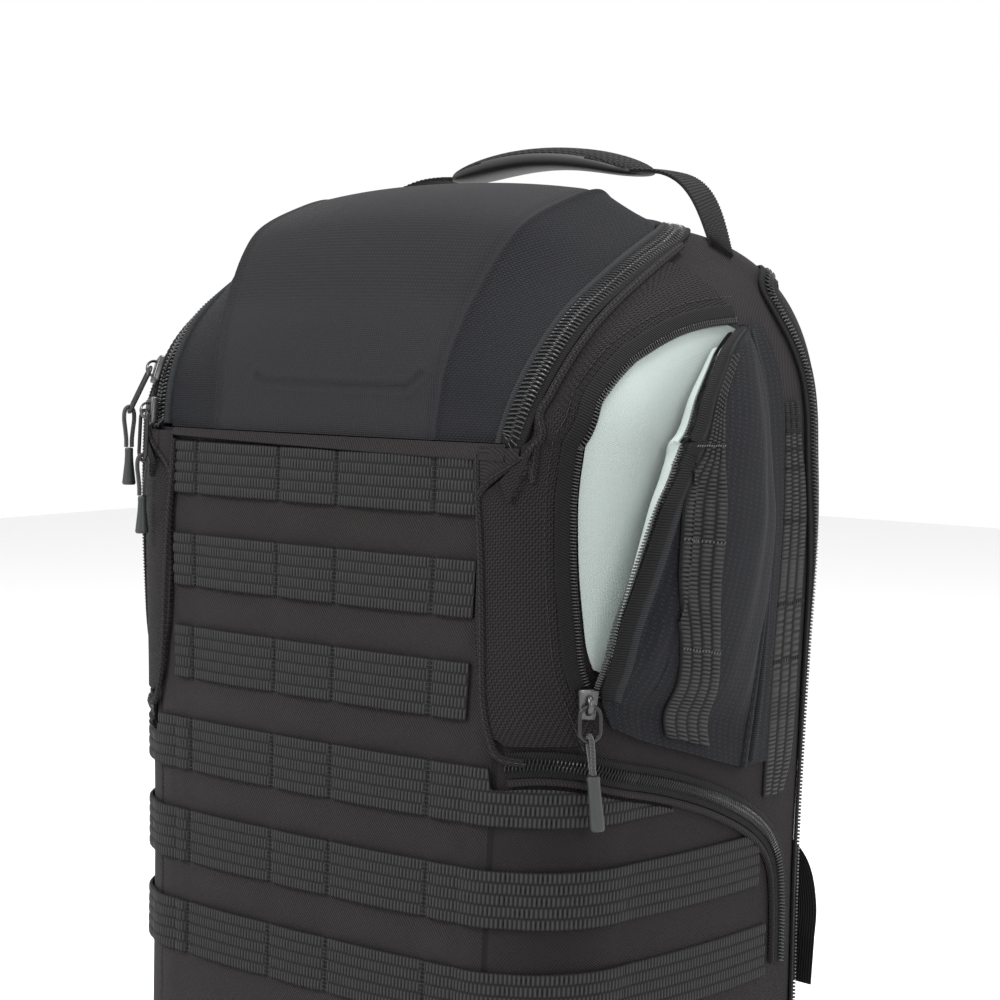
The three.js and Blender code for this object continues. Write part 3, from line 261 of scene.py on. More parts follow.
def belowRim(at, distance):
    at = np.asarray(at, float)
    return reach(lambda up: bodyPoint(at, up), 2.0, 0.5, distance)


def insideRim(where, distance):
    at = np.where(where > form["backMiddle"], where - 2 * form["backMiddle"], where)
    side = np.where(at < 0, -1.0, 1.0)
    place = np.abs(at)
    lengthwise = np.clip((place - form["hingeEnd"]) / (form["lidCorner"] - form["hingeEnd"]), 0, 1)
    across = np.clip((form["backMiddle"] - place) / (form["backMiddle"] - form["lidCorner"]), 0, 1)
    turn = ease(form["lidCorner"] - 0.3, form["lidCorner"] + 0.3, place)
    inward = reach(lambda t: lidPoint(lengthwise, side * t), across, 0.0, distance)
    forward = reach(lambda s: lidPoint(s, side * across), lengthwise, 0.0, distance)
    point = lerp(lidPoint(lengthwise, side * inward), lidPoint(forward, side * across), turn[..., None])
    return point, lidOut(lerp(lengthwise, forward, turn), side * lerp(inward, across, turn))


def beside(at, up, step):  # the place that lies a given step away on the body
    target = bodyPoint(at, up) + step
    nearAt, nearUp = np.array(at, float), np.array(up, float)
    for _ in range(5):
        around, rise, _out = bodySlopes(nearAt, nearUp)
        left = target - bodyPoint(nearAt, nearUp)
        rr, ru, uu = dot(around, around), dot(around, rise), dot(rise, rise)
        lr, lu = dot(left, around), dot(left, rise)
        whole = rr * uu - ru * ru
        nearAt = nearAt + (lr * uu - lu * ru) / whole
        nearUp = np.minimum(nearUp + (lu * rr - lr * ru) / whole, 2)
    return nearAt, nearUp


def doorEdge(at):  # top of the webbing below the side door's zipper
    clipped = smooth(doorPath["at"], doorPath["up"], np.abs(at)) * form["hingeHeight"] - 10.5
    return lerp(form["hingeHeight"], clipped, ease(1.0, 1.2, np.abs(at)))


def outlineSeam(share):
    rows = [belowRim(a, form["lidBand"] + 1) if u is None else u
            for a, u in zip(pocketOutline["seamAt"], pocketOutline["seamUp"])]
    return along(pocketOutline["seamAt"], share), along([float(r) for r in rows], share)


def outlineChain(share, inset=0.0):
    return (along(pocketOutline["chainAt"], share) + inset,
            along(pocketOutline["chainUp"], share) + inset * lerp(0.6, -0.9, share))


def foldPlace(share):
    return along(pocketPanelRows["foldAt"], share), along(pocketPanelRows["foldUp"], share)


pocketSizes = {"bulge": 20, "floor": 2, "wall": 1.6}  # the open panel stands out by its bulge


def onPanel(share, way, curve, lift):
    edgeAt, edgeUp = along(pocketPanelRows["edgeAt"], share), along(pocketPanelRows["edgeUp"], share)
    foldAt, foldUp = foldPlace(share)
    swell = pocketSizes["bulge"] * along(pocketPanelRows["lift"], share)
    swell = swell * smooth(curve["way"], curve["lift"], way)
    return onBody(lerp(foldAt, edgeAt, way), lerp(foldUp, edgeUp, way), pocketSizes["floor"] + swell + lift)


def toMetres(points):
    return (points - np.array([0, form["originDepth"], 0])) * 0.001


print("camera")
cameraSizes = {"lens": 89.8, "place": (0.82185, -0.85997, 0.40693), "azimuth": 42.574, "elevation": 4.598}
bpy.ops.object.camera_add(
    location=cameraSizes["place"],
    rotation=(math.radians(90 - cameraSizes["elevation"]), 0, math.radians(cameraSizes["azimuth"])))
camera = bpy.context.object
camera.data.lens = cameraSizes["lens"]
camera.data.clip_end = 20
bpy.context.scene.camera = camera


# Shader maths
class Value:
    def __init__(self, finish, socket):
        self.finish = finish
        self.socket = socket

    def maths(self, operation, other=None, first=False):
        values = [self] if other is None else [other, self] if first else [self, other]
        return self.finish.node("ShaderNodeMath", {"operation": operation}, dict(enumerate(values)))

    def __add__(self, other):
        return self.maths("ADD", other)

    __radd__ = __add__

    def __sub__(self, other):
        return self.maths("SUBTRACT", other)

    def __rsub__(self, other):
        return self.maths("SUBTRACT", other, first=True)

    def __mul__(self, other):
        return self.maths("MULTIPLY", other)

    __rmul__ = __mul__

    def wave(self, pitch):  # 0 to 1 and back over each pitch
        return (self * (2 * math.pi / pitch)).maths("SINE") * 0.5 + 0.5

    def above(self, limit):
        return self.maths("GREATER_THAN", limit)

    def between(self, low, high):  # eases from 0 to 1 over a stretch
        return self.finish.node("ShaderNodeMapRange", {"interpolation_type": "SMOOTHSTEP"},
                                {"Value": self, "From Min": low, "From Max": high})


class Finish:
    def __init__(self, name, **constants):
        self.material = bpy.data.materials.new(name)
        self.material.use_nodes = True
        self.tree = self.material.node_tree
        self.shader = self.tree.nodes["Principled BSDF"]
        for key, value in constants.items():
            self.shader.inputs[key.replace("_", " ")].default_value = value

    def node(self, kind, settings=None, inputs=None, output=0):
        made = self.tree.nodes.new(kind)
        for key, value in (settings or {}).items():
            setattr(made, key, value)
        for key, value in (inputs or {}).items():
            if isinstance(value, Value):
                self.tree.links.new(value.socket, made.inputs[key])
            else:
                made.inputs[key].default_value = value
        return Value(self, made.outputs[output])

    def mix(self, factor, a, b):
        return self.node("ShaderNodeMix", {"data_type": "RGBA"}, {0: factor, 6: a, 7: b}, 2)

    def tint(self, factor, a, b):  # a mix of two plain colours
        return self.mix(factor, (*a, 1), (*b, 1))

    def flat(self):  # the piece's own map, in metres
        place = self.node("ShaderNodeUVMap", {"uv_map": "UVMap"})
        return [self.node("ShaderNodeSeparateXYZ", None, {0: place}, k) for k in (0, 1)]

    def solid(self):
        return self.node("ShaderNodeTexCoord", output="Object")

    def note(self, name):
        return self.node("ShaderNodeAttribute", {"attribute_name": name}, output="Fac")

    def noise(self, scale, detail=2.0, rough=0.5):
        return self.node("ShaderNodeTexNoise", None,
                         {"Vector": self.solid(), "Scale": scale, "Detail": detail, "Roughness": rough})

    def wear(self, colour, rough, height, depth):
        self.tree.links.new(colour.socket, self.shader.inputs["Base Color"])
        if isinstance(rough, Value):
            self.tree.links.new(rough.socket, self.shader.inputs["Roughness"])
        else:
            self.shader.inputs["Roughness"].default_value = rough
        bump = self.node("ShaderNodeBump", None, {"Strength": 1, "Distance": depth, "Height": height})
        self.tree.links.new(bump.socket, self.shader.inputs["Normal"])
        return self


def twill(f, pitch):
    u, v = f.flat()
    line = (u + v * 0.8).wave(pitch)
    yarn = (u - v * 1.2).wave(pitch * 1.1)
    return line * 0.75 + yarn * 0.25


def basket(f, pitch):
    u, v = f.flat()
    a = u.wave(2 * pitch)
    b = v.wave(2 * pitch)
    over = ((a - 0.5) * (b - 0.5)).above(0)
    return over * u.wave(pitch) + (1 - over) * v.wave(pitch)


def ribs(f, pitch):
    return f.flat()[0].wave(pitch)


def plain(f, pitch):
    u, v = f.flat()
    return u.wave(pitch) * 0.5 + v.wave(pitch) * 0.5


def cloth(name, dark, light, weave, pitch, depth=0.00025, rough=0.8, sheen=0.02):
    f = Finish(name, Sheen_Weight=sheen, Sheen_Roughness=0.5, Specular_IOR_Level=0.12)
    height = weave(f, pitch)
    fine = f.noise(900, 2.0)
    broad = f.noise(9, 3.0)
    share = height * 0.75 + fine * 0.3 + broad.between(0.3, 0.75) * 0.12 - 0.1
    return f.wear(f.tint(share, dark, light), rough - broad * 0.12, height + fine * 0.4, depth)


def ripstop(f, pitch):  # a fine weave crossed by rows of short raised dashes
    u, v = f.flat()
    weave = basket(f, pitch)
    dash = (u.wave(0.0042) * v.wave(0.0021)).between(0.45, 0.8)
    return weave * 0.6 + dash * 0.55


def grey(value, warm=0.0):
    return (value * (1 + warm), value, value * (1 - warm))


finishes = {
    "shell": cloth("charcoalTwill", (0.003, 0.0024, 0.0025), (0.028, 0.0238, 0.0245), twill, 0.0015,
                   depth=0.0005),
    "gusset": cloth("ballisticCloth", (0.0015, 0.0012, 0.0013), (0.026, 0.0225, 0.0232), basket, 0.0013,
                    depth=0.0007),
    "panel": cloth("slateRipstop", (0.0012, 0.0013, 0.0019), (0.02, 0.021, 0.0265), ripstop, 0.0008,
                   depth=0.0004),
    "lining": cloth("paleLining", (0.3, 0.345, 0.33), (0.39, 0.44, 0.425), plain, 0.0008,
                    depth=0.0001, rough=0.6, sheen=0.1),
    "binding": cloth("greyBinding", (0.005, 0.0053, 0.006), (0.03, 0.032, 0.035), ribs, 0.001),
    "tape": cloth("zipperTape", grey(0.001), (0.013, 0.013, 0.0135), ribs, 0.0012),
    "ribbed": cloth("ribbedWebbing", grey(0.001), (0.018, 0.018, 0.019), ribs, 0.0014),
    "mesh": cloth("airMesh", grey(0.001), (0.02, 0.02, 0.021), basket, 0.0022, depth=0.001),
}


def webbingFinish():
    f = Finish("webbingYarn", Specular_IOR_Level=0.25)
    relief = f.note("relief")
    yarn = f.flat()[1].wave(0.0007)
    fine = f.noise(1500, 2.0)
    # Colour follows the bars' relief: the near-black gaps between the bars are painted shade, and the bar
    # tops keep the yarn's own grey
    share = relief.between(0.25, 1.0) * 0.8 + fine * 0.15 + yarn * 0.05 - 0.04
    colour = f.tint(share, grey(0.0005), grey(0.026, 0.01))
    return f.wear(colour, 0.7 - relief * 0.2, yarn * 0.4 + fine * 0.6, 0.00012)


def hardFinish(name, dark, light, rough, metallic=0.0, coat=0.0, grain=600.0, depth=0.00004):
    f = Finish(name, Metallic=metallic, Coat_Weight=coat)
    fine = f.noise(grain, 3.0)
    broad = f.noise(40, 3.0)
    share = fine * 0.5 + broad * 0.5
    return f.wear(f.tint(share, dark, light), rough + fine * 0.12, fine, depth)


def cordFinish():
    f = Finish("braidedCord", Sheen_Weight=0.3)
    u, v = f.flat()
    braid = (u + v).wave(0.0016) * 0.5 + (u - v).wave(0.0016) * 0.5
    return f.wear(f.tint(braid, grey(0.003), grey(0.025)), 0.7, braid, 0.0003)


finishes.update({
    "webbing": webbingFinish(),
    "coil": hardFinish("coilPlastic", grey(0.006), grey(0.02), 0.3, coat=0.2),
    "gunmetal": hardFinish("gunmetalSlider", grey(0.05), grey(0.12), 0.3, metallic=0.9),
    "wire": hardFinish("blackWire", grey(0.01), grey(0.03), 0.3, metallic=0.5),
    "rubber": hardFinish("greenGreyRubber", (0.008, 0.01, 0.0098), (0.022, 0.026, 0.025), 0.45),
    "grip": hardFinish("gripRubber", grey(0.006), grey(0.02), 0.42),
    "thread": hardFinish("blackThread", grey(0.004), grey(0.012), 0.6),
    "paleThread": hardFinish("greyThread", grey(0.05), grey(0.12), 0.7),
    "cord": cordFinish(),
})


# Making pieces
def only(piece):
    bpy.ops.object.select_all(action="DESELECT")
    piece.select_set(True)
    bpy.context.view_layer.objects.active = piece


def applied(piece, kind, **settings):
    only(piece)
    modifier = piece.modifiers.new(kind.lower(), kind)
    for key, value in settings.items():
        setattr(modifier, key, value)
    bpy.ops.object.modifier_apply(modifier=modifier.name)
    return piece


def smoothShaded(piece, angle=50):
    only(piece)
    bpy.ops.object.shade_smooth_by_angle(angle=math.radians(angle))
    return piece


def dressed(piece, finish, slot, *nodes):
    piece.data.materials.clear()
    piece.data.materials.append(finishes[finish].material)
    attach(piece, "root")
    if nodes:
        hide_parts(*nodes)
    return piece


def cutSheet(piece, held, *rests):  # reads the sheet's own flat map and does nothing more with it
    uv = np.zeros(len(piece.data.loops) * 2)
    piece.data.uv_layers[0].data.foreach_get("uv", uv)


def flattened(points):  # distances along the grid, as the cloth's own map
    steps = np.linalg.norm(np.diff(points, axis=1), axis=2)
    u = np.concatenate([np.zeros((len(points), 1)), np.cumsum(steps, axis=1)], axis=1)
    u -= u[:, [u.shape[1] // 2]]
    steps = np.linalg.norm(np.diff(points, axis=0), axis=2)
    v = np.concatenate([np.zeros((1, points.shape[1])), np.cumsum(steps, axis=0)], axis=0)
    return u, v


def clothGrid(name, columns, rows, place, wall=0.0, weld=False, mirror=False, notes=None, angle=50):
    bpy.ops.object.select_all(action="DESELECT")
    bpy.ops.mesh.primitive_grid_add(x_subdivisions=columns, y_subdivisions=rows, size=1, calc_uvs=True)
    piece = bpy.context.object
    piece.name = name
    mesh = piece.data
    flat = np.zeros(len(mesh.vertices) * 3)
    mesh.vertices.foreach_get("co", flat)
    flat = flat.reshape(-1, 3) + 0.5
    i = np.rint(flat[:, 0] * columns).astype(int)
    j = np.rint(flat[:, 1] * rows).astype(int)
    v, u = np.meshgrid(np.linspace(0, 1, rows + 1), np.linspace(0, 1, columns + 1), indexing="ij")
    points = toMetres(place(1 - u if mirror else u, v))
    if mirror:
        points = points * np.array([-1, 1, 1])
    mesh.vertices.foreach_set("co", points[j, i].ravel())
    mapU, mapV = flattened(points)
    corner = np.zeros(len(mesh.loops), int)
    mesh.loops.foreach_get("vertex_index", corner)
    uv = np.stack([mapU[j, i][corner], mapV[j, i][corner]], -1)
    mesh.uv_layers[0].data.foreach_set("uv", uv.ravel())
    for key, values in (notes or {}).items():
        values = values[:, ::-1] if mirror else values
        layer = mesh.attributes.new(key, "FLOAT", "POINT")
        layer.data.foreach_set("value", values[j, i].astype(np.float32))
    mesh.update()
    if weld:
        only(piece)
        bpy.ops.object.mode_set(mode="EDIT")
        bpy.ops.mesh.select_all(action="SELECT")
        bpy.ops.mesh.remove_doubles(threshold=1e-6)
        bpy.ops.mesh.select_all(action="SELECT")
        bpy.ops.mesh.fill_holes(sides=0)
        bpy.ops.object.mode_set(mode="OBJECT")
    if wall:
        applied(piece, "SOLIDIFY", thickness=wall * 0.001, offset=-1)
    return smoothShaded(piece, angle)


def track(points, outs):  # frames along a line: place, forward, aside and out
    forward = unit(np.gradient(points, axis=0))
    aside = unit(np.cross(outs, forward))
    return {"place": points, "forward": forward, "aside": aside, "out": np.cross(forward, aside)}


def evenShares(point, pitch, count=1600):  # shares of a line that lie a pitch apart
    share = np.linspace(0, 1, count)
    line = point(share)
    length = np.concatenate([[0], np.cumsum(np.linalg.norm(np.diff(line, axis=0), axis=1))])
    steps = max(2, int(round(length[-1] / pitch)))
    return np.interp(np.linspace(0, length[-1], steps + 1), length, share)


def bodyTrack(path, pitch, start=0.0, stop=1.0, lift=0.0):
    at = lambda s: along(path["at"], lerp(start, stop, s))
    up = lambda s: along(path["up"], lerp(start, stop, s))
    even = evenShares(lambda s: bodyPoint(at(s), up(s)), pitch)
    made = track(onBody(at(even), up(even), np.full(len(even), lift)), bodySlopes(at(even), up(even))[2])
    made.update(at=at(even), up=up(even))
    return made


def bodyStrip(name, line, profile, mirror=False, angle=60):  # a closed profile swept over the body
    profile = np.array([*profile, profile[0]], float)
    count = len(line["at"]) - 1

    def place(u, v):
        i = np.rint(u * count).astype(int)
        j = np.rint(v * (len(profile) - 1)).astype(int)
        step = line["aside"][i] * profile[j][..., :1]
        at, up = beside(line["at"][i], line["up"][i], step)
        return onBody(at, up, profile[j][..., 1])

    return clothGrid(name, count, len(profile) - 1, place, weld=True, mirror=mirror, angle=angle)


def repeated(name, template, spots, mirror=False):  # copies of one small shape along a track, in one mesh
    shape = np.zeros(len(template.data.vertices) * 3)
    template.data.vertices.foreach_get("co", shape)
    shape = shape.reshape(-1, 3)
    polygons = [list(p.vertices) for p in template.data.polygons]
    points = (spots["place"][:, None] + spots["forward"][:, None] * shape[None, :, :1]
              + spots["aside"][:, None] * shape[None, :, 1:2] + spots["out"][:, None] * shape[None, :, 2:])
    points = toMetres(points.reshape(-1, 3))
    if mirror:
        points = points * np.array([-1, 1, 1])
    faces = [[k * len(shape) + corner for corner in (polygon[::-1] if mirror else polygon)]
             for k in range(len(spots["place"])) for polygon in polygons]
    mesh = bpy.data.meshes.new(name)
    mesh.from_pydata(points.tolist(), [], faces)
    mesh.update()
    piece = bpy.data.objects.new(name, mesh)
    bpy.context.scene.collection.objects.link(piece)
    return smoothShaded(piece, 60)


# A rounded bar that lies across a track
def bead(name, length, width, height, segments=6, rings=5, slant=0.0, bow=0.0):
    bpy.ops.object.select_all(action="DESELECT")
    bpy.ops.mesh.primitive_uv_sphere_add(segments=segments, ring_count=rings, radius=1)
    piece = bpy.context.object
    piece.name = name
    for vertex in piece.data.vertices:
        x, y, z = vertex.co
        reachY = math.copysign(min(abs(z) * 4, 1), z) * (length / 2 - width / 2) + z * width / 2
        vertex.co = (x * width / 2 + reachY * slant, reachY, y * height / 2 - bow * (2 * reachY / length)**2)
    piece.hide_render = True
    return piece


def flipY(template, name):
    piece = template.copy()
    piece.data = template.data.copy()
    piece.name = name
    bpy.context.scene.collection.objects.link(piece)
    for vertex in piece.data.vertices:
        vertex.co.y = -vertex.co.y
    only(piece)
    bpy.ops.object.mode_set(mode="EDIT")
    bpy.ops.mesh.select_all(action="SELECT")
    bpy.ops.mesh.flip_normals()
    bpy.ops.object.mode_set(mode="OBJECT")
    return piece


templates = []


def template(*values, **settings):
    piece = bead(*values, **settings)
    templates.append(piece)
    return piece


def shifted(line, forward=0.0, aside=0.0, out=0.0, start=0, step=1):
    spots = {key: line[key][start::step] for key in ("place", "forward", "aside", "out")}
    spots["place"] = (spots["place"] + spots["forward"] * forward + spots["aside"] * aside
                      + spots["out"] * out)
    return spots


def roundTube(name, line, radius, sides=10):
    count = len(line["place"]) - 1

    def place(u, v):
        i = np.rint(u * count).astype(int)
        turn = -v * 2 * math.pi
        size = np.broadcast_to(np.asarray(radius, float), (count + 1,))[i]
        return (line["place"][i] + line["aside"][i] * (np.cos(turn) * size)[..., None]
                - line["out"][i] * (np.sin(turn) * size)[..., None])

    return clothGrid(name, count, sides, place, weld=True, angle=80)


def rounded(left, right, low, high, edge=0.6, crown=0.0, steps=6):  # closed profile with soft top edges
    top = [(lerp(left + edge, right - edge, k / steps), high + crown * math.sin(math.pi * k / steps))
           for k in range(steps + 1)]
    return [(left, low), (left, high - edge), *top, (right, high - edge), (right, low)]


def halfRound(centre, width, low, height, steps):  # closed profile of a cord or a rolled edge
    turns = np.linspace(0, math.pi, steps)
    return [(centre - width * math.cos(a), low + height * math.sin(a)) for a in turns]


# Zipper tapes lie on the cloth, and higher up on the pockets
tapeSizes = {"half": 5.5, "edge": 0.3, "onCloth": (0.8, 1.9), "onPocket": (3.1, 4.1)}


def tapeProfile(left, bed):
    return rounded(left, tapeSizes["half"], *tapeSizes[bed], tapeSizes["edge"])


print("pulls and cords")
pullSizes = {
    "sliderLength": 13, "sliderWidth": 9, "sliderRise": 3.4, "eyeHeight": 1.9,
    "wireRadius": 0.9, "wireLoopRadius": 4.6, "cordDiameter": 2.2, "cordEndRadius": 3.3, "gap": 0.3,
}
pulls = {
    "pocket_pull": {"down": (0, 0, -1), "cordDown": (0.1, 0.02, -1), "wire": 17, "cord": 14, "end": 24},
    "lid_pull_upper": {"down": (-0.36, -0.34, -1), "cordDown": (0, -0.02, -1), "wire": 26, "cord": 17,
                       "end": 18},
    "lid_pull_lower": {"down": (-0.03, -0.05, -1), "cordDown": (0, -0.02, -1), "wire": 26, "cord": 17,
                       "end": 18},
}


def sliderSpot(name):
    if name == "pocket_pull":
        _around, rise, out = bodySlopes(1.65, 0.684)
        lift = pocketSizes["floor"] + pocketSizes["wall"] + 2 * pullSizes["gap"]
        return bodyPoint(1.65, 0.684) + out * lift, unit(rise), out
    at = -1.64 if name == "lid_pull_upper" else -1.33
    out = bodySlopes(at, 1.97)[2]
    ahead = unit(rimPoint(np.array(at - 0.05)) - rimPoint(np.array(at + 0.05)))
    return rimPoint(np.array(at)) + out * 3.9, ahead, out


def hanging(bar, down):  # axes of a thing that hangs: side, up and out
    up = -unit(np.array(down, float))
    side = unit(bar - up * dot(bar, up))
    return side, up, np.cross(side, up)


def cordLine(length):
    side = [(1.4, length), (1.4, length * 0.8), (1.9, length * 0.5), (2.5, 3), (2.4, 0.6), (1.5, -1.8)]
    points = [*side, (0, -2.6), *[(-n, d) for n, d in reversed(side)]]
    keys = np.concatenate([[0], np.cumsum(np.linalg.norm(np.diff(points, axis=0), axis=1))])
    even = np.linspace(0, keys[-1], 49)
    n, d = (smooth(keys, [p[k] for p in points], even) for k in (0, 1))
    return np.stack([0 * n, -d, n], -1)


def sliderShape():
    bpy.ops.object.select_all(action="DESELECT")
    bpy.ops.mesh.primitive_cube_add(size=1)
    piece = bpy.context.object
    length, width, rise = pullSizes["sliderLength"], pullSizes["sliderWidth"], pullSizes["sliderRise"]
    for vertex in piece.data.vertices:
        narrow = 1 if vertex.co.x > 0 else 0.75
        vertex.co = (vertex.co.x * length, vertex.co.y * width * narrow, (vertex.co.z + 0.5) * rise)
    applied(piece, "BEVEL", width=1.0, segments=3)
    bridge = bridgeShape()
    only(piece)
    bridge.select_set(True)
    bpy.ops.object.join()
    return piece


def bridgeShape():
    bpy.ops.object.select_all(action="DESELECT")
    bpy.ops.mesh.primitive_torus_add(major_segments=28, minor_segments=8, major_radius=3.9, minor_radius=0.62,
                                     rotation=(math.pi / 2, 0, 0))
    piece = bpy.context.object
    bpy.ops.object.transform_apply(rotation=True)
    for vertex in piece.data.vertices:
        vertex.co.z = vertex.co.z * 0.95 + pullSizes["sliderRise"] + 0.1
        vertex.co.y *= 1.9
    return piece


def wireShape(length):
    bpy.ops.object.select_all(action="DESELECT")
    radius, wire = pullSizes["wireLoopRadius"], pullSizes["wireRadius"]
    bpy.ops.mesh.primitive_torus_add(major_segments=48, minor_segments=10, major_radius=radius,
                                     minor_radius=wire)
    piece = bpy.context.object
    stretch = length - 2 * (radius + wire)
    for vertex in piece.data.vertices:
        if vertex.co.y < -0.01:
            vertex.co.y -= stretch
    return piece


def cordEndShape(length, flared):
    r = pullSizes["cordEndRadius"]
    if flared:
        profile = [(0, 0), (r * 0.5, 0), (r * 0.62, 0.8), (r * 0.6, 3), (r * 0.66, length * 0.4),
                   (r * 0.95, length - 2.2), (r, length - 0.9), (r * 0.86, length), (0, length)]
    else:
        profile = [(0, 0), (r * 0.62, 0), (r * 0.85, 0.5), (r * 0.9, 1.6), (r * 0.82, 3),
                   (r * 0.86, length * 0.5), (r * 0.95, length - 1.6), (r * 0.8, length - 0.4), (0, length)]
    radii = [p[0] for p in profile]
    heights = [p[1] for p in profile]

    def place(u, v):
        turn = u * 2 * math.pi
        radius = np.interp(v, np.linspace(0, 1, len(profile)), radii)
        down = np.interp(v, np.linspace(0, 1, len(profile)), heights)
        return vec(radius * np.cos(turn), -down + form["originDepth"], -radius * np.sin(turn))

    piece = clothGrid("end", 24, 24, place, weld=True, angle=60)
    piece.data.transform(Matrix.Scale(1000, 4))
    return piece


def seated(piece, name, origin, x, y, z):  # moves a shape made in millimetres to its place
    basis = Matrix(np.array([[*row, t] for row, t in zip(np.stack([x, y, z], -1), origin)] + [[0, 0, 0, 1]]))
    centred = Matrix.Translation((0, -form["originDepth"] * 0.001, 0))
    piece.data.transform(centred @ Matrix.Scale(0.001, 4) @ basis)
    piece.name = name
    return piece


for pull, facts in pulls.items():
    point, forward, out = sliderSpot(pull)
    bar = unit(np.cross(out, forward))
    eye = point + out * (pullSizes["sliderRise"] + pullSizes["eyeHeight"])
    wireDown = unit(np.array(facts["down"], float))
    foot = eye + wireDown * (facts["wire"] - 2 * pullSizes["wireRadius"])
    slider = seated(sliderShape(), pull + "Slider", point, forward, np.cross(out, forward), out)
    dressed(smoothShaded(slider, 40), "gunmetal", "gunmetal", pull + "_slider")
    centre = eye + wireDown * pullSizes["wireLoopRadius"]
    wire = seated(wireShape(facts["wire"]), pull + "Wire", centre, *hanging(bar, facts["down"]))
    dressed(smoothShaded(wire, 60), "wire", "black_wire", pull + "_wire")
    axes = hanging(bar, facts["cordDown"])
    end = cordEndShape(facts["end"], pull != "pocket_pull")
    end = seated(end, pull + "CordEnd", foot - axes[1] * (facts["cord"] + pullSizes["gap"]), *axes)
    dressed(smoothShaded(end, 60), "rubber", "rubber", pull + "_cord_end")
    route = foot + cordLine(facts["cord"]) @ np.stack(axes)
    cordPiece = roundTube(pull + "Cord", track(route, np.broadcast_to(axes[0], route.shape)),
                          pullSizes["cordDiameter"] / 2)
    dressed(cordPiece, "cord", "pull_cord", pull + "_cord")
    path = toMetres(route)

print("body")
webbingSizes = {
    "width": 25, "wall": 1.5, "pitch": 44, "drop": 6, "rows": 6, "shift": -4, "narrowCell": 38.5,
    "wideCell": 59.5, "rise": 1.2, "gap": 0.3, "barPitch": 1.95, "bands": 5, "step": 0.4,
    "reach": [1, 1, 1, 2.22, 2.78, 2.84], "sideSeams": [1.3, 2.045],
}


def rowTop(row):
    return form["hingeHeight"] - webbingSizes["drop"] - row * webbingSizes["pitch"]


def webbingSeams():
    narrow, wide = webbingSizes["narrowCell"] / 2, webbingSizes["wideCell"]
    return np.array([-narrow - wide, -narrow, narrow, narrow + wide]) + webbingSizes["shift"]


def evenAround(z, start, stop, pitch):  # places a pitch apart, and their distance from the front
    dense = np.linspace(start, stop, 3000)
    line = bodySection(dense, z)
    length = np.concatenate([[0], np.cumsum(np.linalg.norm(np.diff(line, axis=0), axis=1))])
    count = max(2, int(round(length[-1] / pitch)))
    even = np.linspace(0, length[-1], count + 1)
    return np.interp(even, length, dense), even - np.interp(0.0, dense, length)


def bodyCloth():
    at, distance = evenAround(200, -5, 5, 3.0)
    columns, rows = len(at) - 1, 130
    edge = np.abs(at) <= form["hingeEnd"]
    rim = np.where(edge, 1 - 0.3 / form["hingeHeight"], belowRim(at, 0.6))
    low = form["baseEdge"] / form["hingeHeight"]
    tops = rowTop(np.arange(webbingSizes["rows"]))

    def place(u, v):
        i = np.rint(u * columns).astype(int)
        here = at[i]
        up = lerp(low, rim[i], v)
        z = np.minimum(up, 1) * form["hingeHeight"]
        puff = 0 * z
        for top in tops[1:]:
            share = np.clip((z - top) / (webbingSizes["pitch"] - webbingSizes["width"]), 0, 1)
            puff = puff + np.sin(math.pi * share)**2
        nearest = np.min(np.abs(distance[i][..., None] - webbingSeams()), axis=-1)
        puff = puff * (0.35 + 0.65 * ease(0, 14, nearest))
        puff = puff * (0.8 + 0.4 * ripple(distance[i] * 0.08, z * 0.1, 2))
        puff = puff * ease(1.02, 0.96, np.abs(here)) * 1.1
        return onBody(here, up, puff + 0.12 * ripple(distance[i] * 0.05, z * 0.05))

    return clothGrid("bodyCloth", columns, rows, place, wall=5, weld=False)


bodyPiece = bodyCloth()
only(bodyPiece)
bpy.ops.object.mode_set(mode="EDIT")
bpy.ops.mesh.select_all(action="SELECT")
bpy.ops.mesh.remove_doubles(threshold=2e-5)
bpy.ops.object.mode_set(mode="OBJECT")
dressed(bodyPiece, "shell", "shell_fabric", "body_shell")


def basePanel():
    at, _distance = evenAround(20, -5, 5, 6.0)
    middleY = (bodySection(5, 0)[1] + bodySection(0, 0)[1]) / 2
    profile = [(7, 0.0), (7, 0.5), (7, 0.93), (14, 0.965), (21.7, 0.965), (21.7, 1.0), (16, 1.0), (10, 1.0),
               (5, 1.0), (2, 1.0), (0.5, 1.0), (0, 0.99), (0, 0.9), (0, 0.5), (0, 0.0)]

    def place(u, v):
        i = np.rint(u * (len(at) - 1)).astype(int)
        j = np.rint((1 - v) * (len(profile) - 1)).astype(int)
        z = np.array([p[0] for p in profile], float)[j]
        share = np.array([p[1] for p in profile], float)[j]
        point = bodySection(at[i], z)
        centre = vec(0, middleY, z)
        return lerp(centre, point, share[..., None])

    return clothGrid("basePanelCloth", len(at) - 1, len(profile) - 1, place, weld=True)


dressed(basePanel(), "shell", "shell_fabric", "base_panel")


bandSteps = [0.0, 0.14, 0.32, 0.5, 0.68, 0.86]


def webbingRelief(distance, band, within):  # rounded bars, staggered from band to band
    phase = distance / webbingSizes["barPitch"] + 0.5 * (band % 2)
    bar = (0.5 + 0.5 * np.cos(2 * math.pi * phase))**0.6
    edge = 1 - np.abs(2 * within - 1)**5
    return bar * edge


def bandRows(bands, share, distance):  # the way over a webbing's bands and back below them, closed
    steps = [b + t for b in range(bands) for t in bandSteps]
    profile = np.array([*steps, bands, bands, 0, 0], float)
    j = np.rint(share * (len(profile) - 1)).astype(int)
    under = (j == len(profile) - 3) | (j == len(profile) - 2)
    t = profile[j]
    band = np.minimum(np.floor(t), bands - 1)
    return t, under, np.where(under, 0, webbingRelief(distance, band, t - band))


def bandCount(bands):
    return bands * len(bandSteps) + 3


